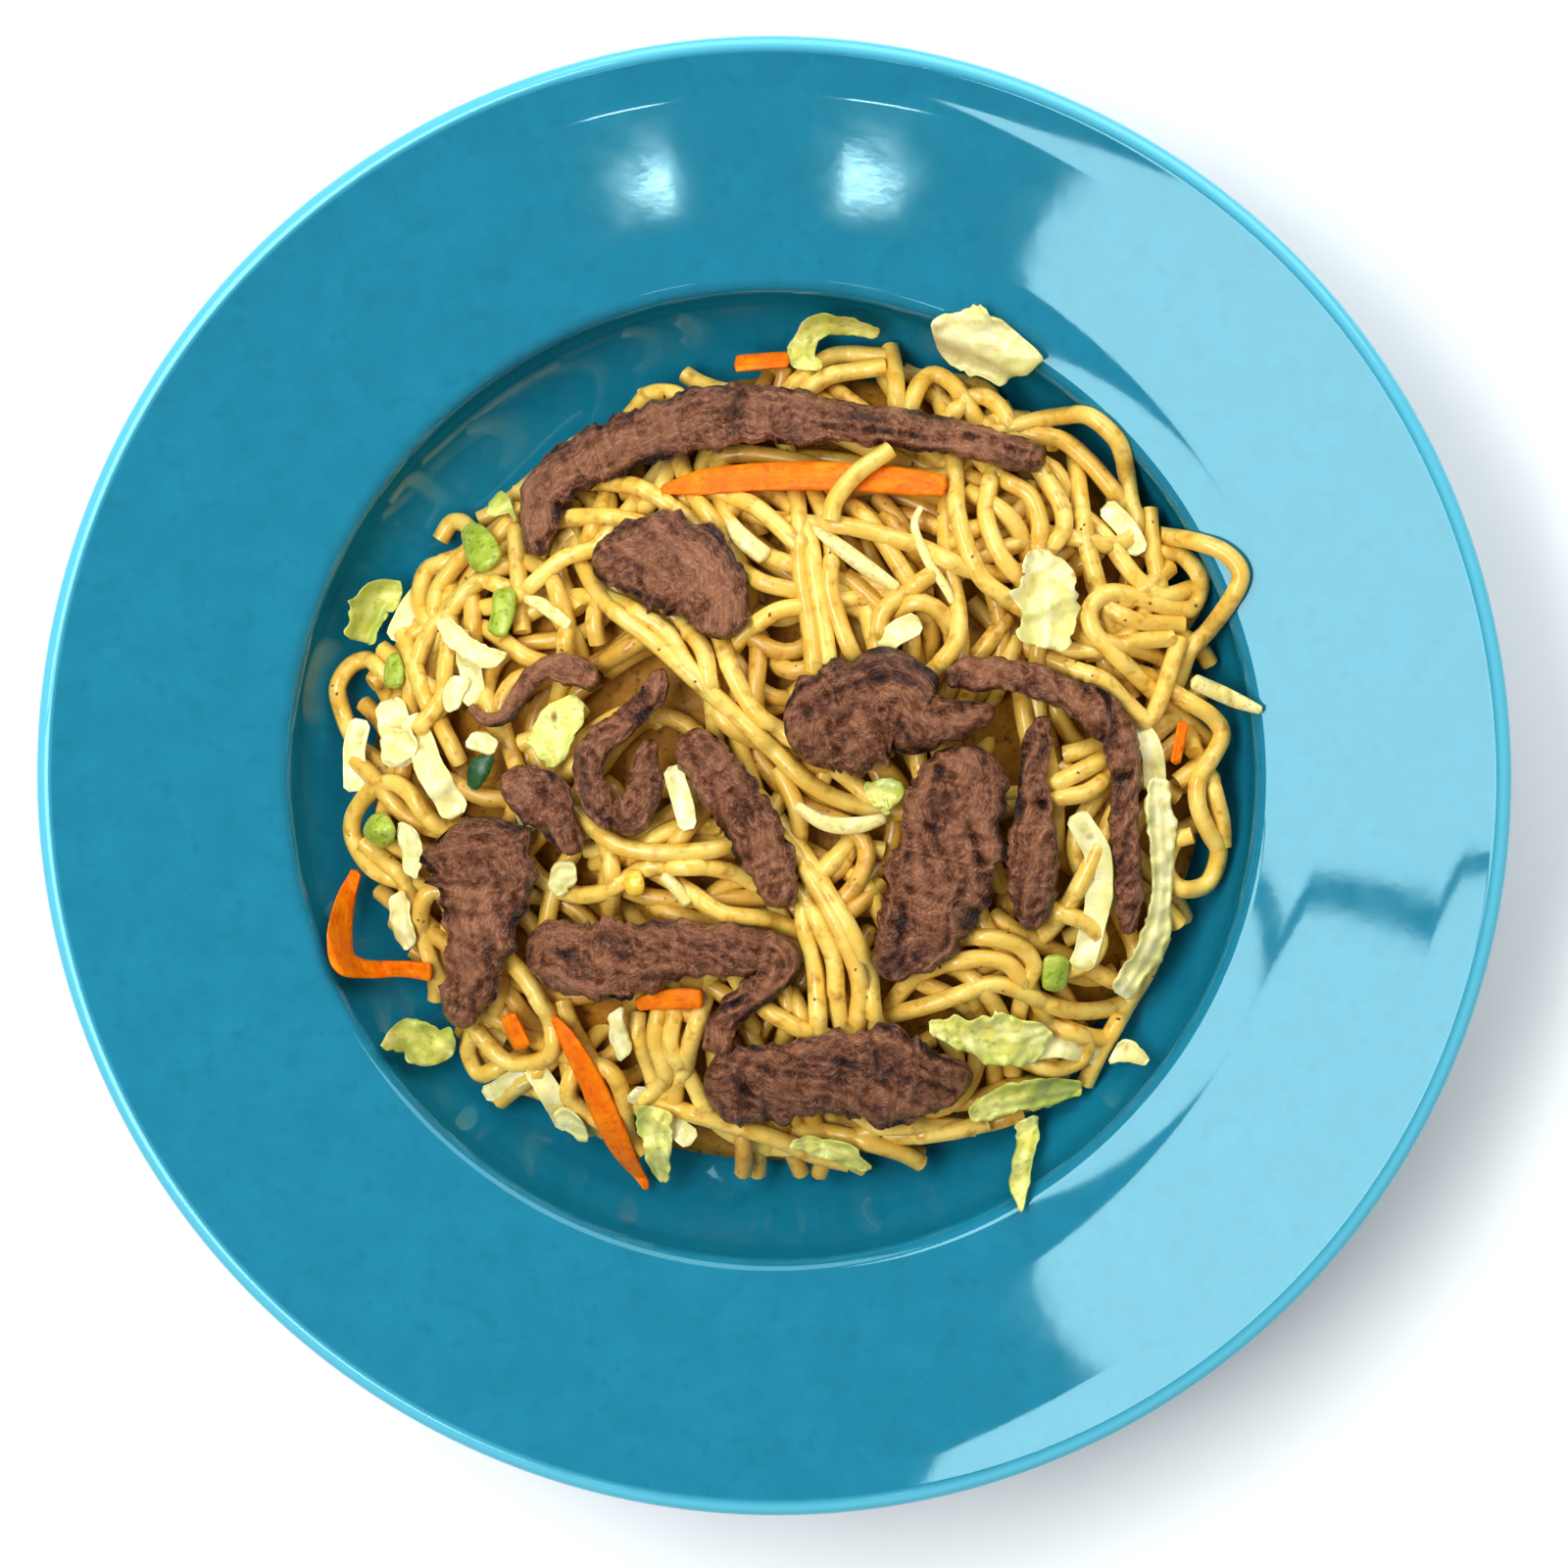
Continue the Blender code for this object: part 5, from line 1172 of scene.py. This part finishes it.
class DISH_OT_noodles(Operator):
    """Lays the heap: a core of painted shade, buried noodles, cabbage shreds and the noodles that show"""
    bl_idname = "noodle_dish.noodles"
    bl_label = "Noodles"

    def execute(self, context):
        settings = context.scene.noodle_dish
        radius = settings.noodle_thickness / MM / 2
        buried, shreds, showing = build_strands(radius, settings.noodle_layers, settings.noodles_per_layer,
                                        settings.tangle_seed)
        half = len(buried) // 2
        # The deeper half of the buried noodles takes the darker finish, as painted shade.
        for name, strands, look in (("noodles_deep_shaded", buried[:half], "noodle_deep_shaded"),
                                    ("noodles_middle", buried[half:], "noodle"),
                                    ("noodles_on_top", showing, "noodle")):
            settle(sweep_strands(name, strands, finish(look), settings), "noodles")
        settle(self.core(), "noodles")
        settle(self.shreds(shreds), "noodles")
        return {"FINISHED"}

    def shreds(self, shreds):
        """Flat wavy shreds of cabbage, on the paths that were laid for them."""
        vertices, faces, grain, tone, angle = [], [], [], [], 2 * math.pi * (np.arange(20) + 0.5) / 20
        for seed, (path, width) in enumerate(shreds):
            across, along = sides_of(path), lengths_of(path)
            keep = 0.45 + 0.55 * end_round(along, np.full(len(path), width), 0.3)[:, None]
            u, side = np.broadcast_arrays(along[:, None], np.cos(angle))
            wave = lattice_noise(np.stack([u / 2.8, side * 1.3, 0 * u], -1), 800 + seed)
            reach = side * width / 2 * keep * (1 + 0.15 * wave)
            z = (path[:, 2:3] + np.sin(angle) * SHRED_THICKNESS / 2 + 0.7 * wave
                 + 0.8 * np.abs(side) ** 3)
            rings = np.stack([path[:, 0:1] + across[:, 0:1] * reach,
                              path[:, 1:2] + across[:, 1:2] * reach, z], -1)
            faces += tube_faces(len(path), len(angle), sum(len(v) for v in vertices))
            vertices += [rings.reshape(-1, 3), rings[0].mean(axis=0)[None], rings[-1].mean(axis=0)[None]]
            grain += [np.stack([u, reach], -1).reshape(-1, 2), np.zeros((2, 2))]
            tone += [np.clip(0.3 + 0.5 * wave + 0.3 * np.abs(side), 0, 1).ravel(), np.full(2, 0.5)]
        return new_mesh_object("cabbage_shreds", np.concatenate(vertices), faces, finish("cabbage_white"),
                               np.concatenate(grain), np.concatenate(tone))

    def core(self):
        """The heap's dark inside, a sauce-brown body of painted shade, which shows only in the gaps between
        noodles.
        """
        steps, shares = 128, np.concatenate([[0.02], np.linspace(0.08, 1, 24)])
        angle = 2 * math.pi * np.arange(steps) / steps
        edge = heap_edge(angle) * CORE_SHARE
        x, y = shares[:, None] * edge * np.cos(angle), shares[:, None] * edge * np.sin(angle)
        ground = PLATE_MAP.at(x, y) + 0.3
        upper = np.stack([x, y, np.maximum(HEAP_MAP.at(x, y) - CORE_DROP, ground + 0.3)], -1)
        lower = np.stack([x, y, ground], -1)[::-1]
        rings = np.concatenate([upper, lower])
        vertices = np.concatenate([rings.reshape(-1, 3), [rings[0].mean(axis=0)], [rings[-1].mean(axis=0)]])
        faces = [face[::-1] for face in tube_faces(len(rings), steps)]
        return new_mesh_object("heap_shade_core", vertices, faces, finish("core"))


class DISH_OT_beef(Operator):
    """Models the seared beef strips with their wrinkles and fibres"""
    bl_idname = "noodle_dish.beef"
    bl_label = "Beef"

    def execute(self, context):
        for seed, (node, runs) in enumerate(BEEF.items()):
            vertices, faces, grain, tone = [], [], [], []
            for number, (thickness, route) in enumerate(runs):
                part = strip_surface(route, 0.5, 92, beef_section(thickness, 21 * seed + 10 * number),
                                     sum(len(v) for v in vertices))
                vertices.append(part[0])
                faces += part[1]
                grain.append(part[2])
                tone.append(part[3])
            piece = new_mesh_object("seared_" + node, np.concatenate(vertices), faces, finish("beef"),
                                    np.concatenate(grain), np.concatenate(tone))
            settle(piece, node)
        return {"FINISHED"}


class DISH_OT_carrots(Operator):
    """Models the cut carrot sticks"""
    bl_idname = "noodle_dish.carrots"
    bl_label = "Carrots"

    def execute(self, context):
        for seed, (node, route) in enumerate(CARROT.items()):
            parts = strip_surface(route, 0.5, 32, carrot_section(CARROT_THICKNESS, 300 + seed))
            piece = new_mesh_object("cut_" + node, parts[0], parts[1], finish("carrot"), parts[2])
            settle(piece, node)
        return {"FINISHED"}


class DISH_OT_leaves(Operator):
    """Models the wavy cabbage leaves"""
    bl_idname = "noodle_dish.leaves"
    bl_label = "Leaves"

    def execute(self, context):
        for seed, (node, (look, wave, route)) in enumerate(LEAF.items()):
            vertices, faces, grain, tone = leaf_surface(route, wave, 400 + 5 * seed)
            piece = new_mesh_object("wavy_" + node, vertices, faces, finish(look), grain, tone)
            settle(piece, node)
        return {"FINISHED"}


class DISH_OT_greens(Operator):
    """Models the stems, pea, sprouts and corn"""
    bl_idname = "noodle_dish.greens"
    bl_label = "Stems and sprouts"

    def execute(self, context):
        for seed, (node, (look, share, route)) in enumerate(STICK.items()):
            parts = strip_surface(route, 0.4, 24, stick_section(share, 600 + seed))
            piece = new_mesh_object("cooked_" + node, parts[0], parts[1], finish(look), parts[2])
            settle(piece, node)
        return {"FINISHED"}


class DISH_OT_crumbs(Operator):
    """Scatters browned crumbs over the noodles that show"""
    bl_idname = "noodle_dish.crumbs"
    bl_label = "Crumbs"

    def execute(self, context):
        settings = context.scene.noodle_dish
        source = bpy.data.objects["noodles_on_top"]
        obj = bpy.data.objects.new("browned_crumbs", source.data.copy())
        context.scene.collection.objects.link(obj)
        tree, names = crumb_tree()
        scatter = obj.modifiers.new("scatter", "NODES")
        scatter.node_group = tree
        scatter[names["Density"]] = 7000.0
        scatter[names["Size"]] = settings.crumb_size
        scatter[names["Seed"]] = 5
        scatter[names["Finish"]] = finish("sauce_speck")
        make_plain(obj, finish("sauce_speck"))
        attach(obj, "root")
        return {"FINISHED"}


class DISH_OT_stage(Operator):
    """Adds the white table, the softbox, two small lamps, a fill light and the camera"""
    bl_idname = "noodle_dish.stage"
    bl_label = "Table, lights and camera"

    def execute(self, context):
        settings, scene = context.scene.noodle_dish, context.scene
        signs = ((-1, -1), (1, -1), (1, 1), (-1, 1))
        corners = [(x * TABLE_HALF, y * TABLE_HALF, TABLE_TOP) for x, y in signs]
        floor = new_mesh_object("table_top", corners, [(0, 1, 2, 3)], finish("table"))
        for low, high in zip(PANE_BARS, PANE_BARS[1:]):
            long = high - low - PANE_GAP
            self.area("softbox", (SOFTBOX_X, (low + high) / 2, LIGHT_HEIGHT), (SOFTBOX_WIDTH, long),
                      settings.softbox_power * long / SOFTBOX_LENGTH, SOFTBOX_COLOUR)
        for place in SPOT_PLACES:
            self.area("spot", (*place, LIGHT_HEIGHT), SPOT_SIZE, SPOT_POWER, (1.0, 1.0, 1.0))
        self.area("fill", FILL_PLACE, FILL_SIZE, FILL_POWER, FILL_COLOUR)
        world = bpy.data.worlds.new("soft surround")
        world.use_nodes = True
        surround = world.node_tree.nodes["Background"].inputs
        surround["Color"].default_value = SURROUND_COLOUR
        surround["Strength"].default_value = SURROUND_STRENGTH
        scene.world = world
        scene.view_settings.view_transform = "Standard"
        camera = bpy.data.objects.new("camera", bpy.data.cameras.new("camera"))
        scene.collection.objects.link(camera)
        lean = Vector(CAMERA_LEAN).normalized()
        camera.location = Vector(CAMERA_AIM) + lean * settings.camera_distance
        right = Vector((0, 1, 0)).cross(lean).normalized()
        camera.rotation_euler = Matrix((right, lean.cross(right), lean)).transposed().to_euler()
        camera.data.lens = SENSOR_WIDTH * settings.camera_distance / VIEW_WIDTH
        scene.camera = camera
        return {"FINISHED"}

    def area(self, name, place, size, power, colour):
        light = bpy.data.lights.new(name, "AREA")
        light.shape = "RECTANGLE"
        light.size, light.size_y = size
        light.energy = power
        light.color = colour
        lamp = bpy.data.objects.new(name, light)
        lamp.location = place
        if name == "fill":
            lamp.rotation_euler = Vector(place).to_track_quat("Z", "Y").to_euler()
        bpy.context.scene.collection.objects.link(lamp)


OPERATORS = (DISH_OT_plate, DISH_OT_noodles, DISH_OT_beef, DISH_OT_carrots, DISH_OT_leaves, DISH_OT_greens,
             DISH_OT_crumbs, DISH_OT_stage)


class DISH_PT_panel(Panel):
    bl_idname = "DISH_PT_panel"
    bl_label = "Stir-fried noodles"
    bl_space_type = "VIEW_3D"
    bl_region_type = "UI"
    bl_category = "Noodles"

    def draw(self, context):
        settings = context.scene.noodle_dish
        for name in settings.bl_rna.properties.keys():
            if name not in ("rna_type", "name"):
                self.layout.prop(settings, name)
        for operator in OPERATORS:
            self.layout.operator(operator.bl_idname)


CLASSES = (NoodleDishSettings, *OPERATORS, DISH_PT_panel)


def register():
    for item in CLASSES:
        bpy.utils.register_class(item)
    bpy.types.Scene.noodle_dish = PointerProperty(type=NoodleDishSettings)


def unregister():
    del bpy.types.Scene.noodle_dish
    for item in reversed(CLASSES):
        bpy.utils.unregister_class(item)


def main():
    register()
    for operator in OPERATORS:
        group, call = operator.bl_idname.split(".")
        getattr(getattr(bpy.ops, group), call)()
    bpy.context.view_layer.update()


if __name__ == "__main__":
    main()
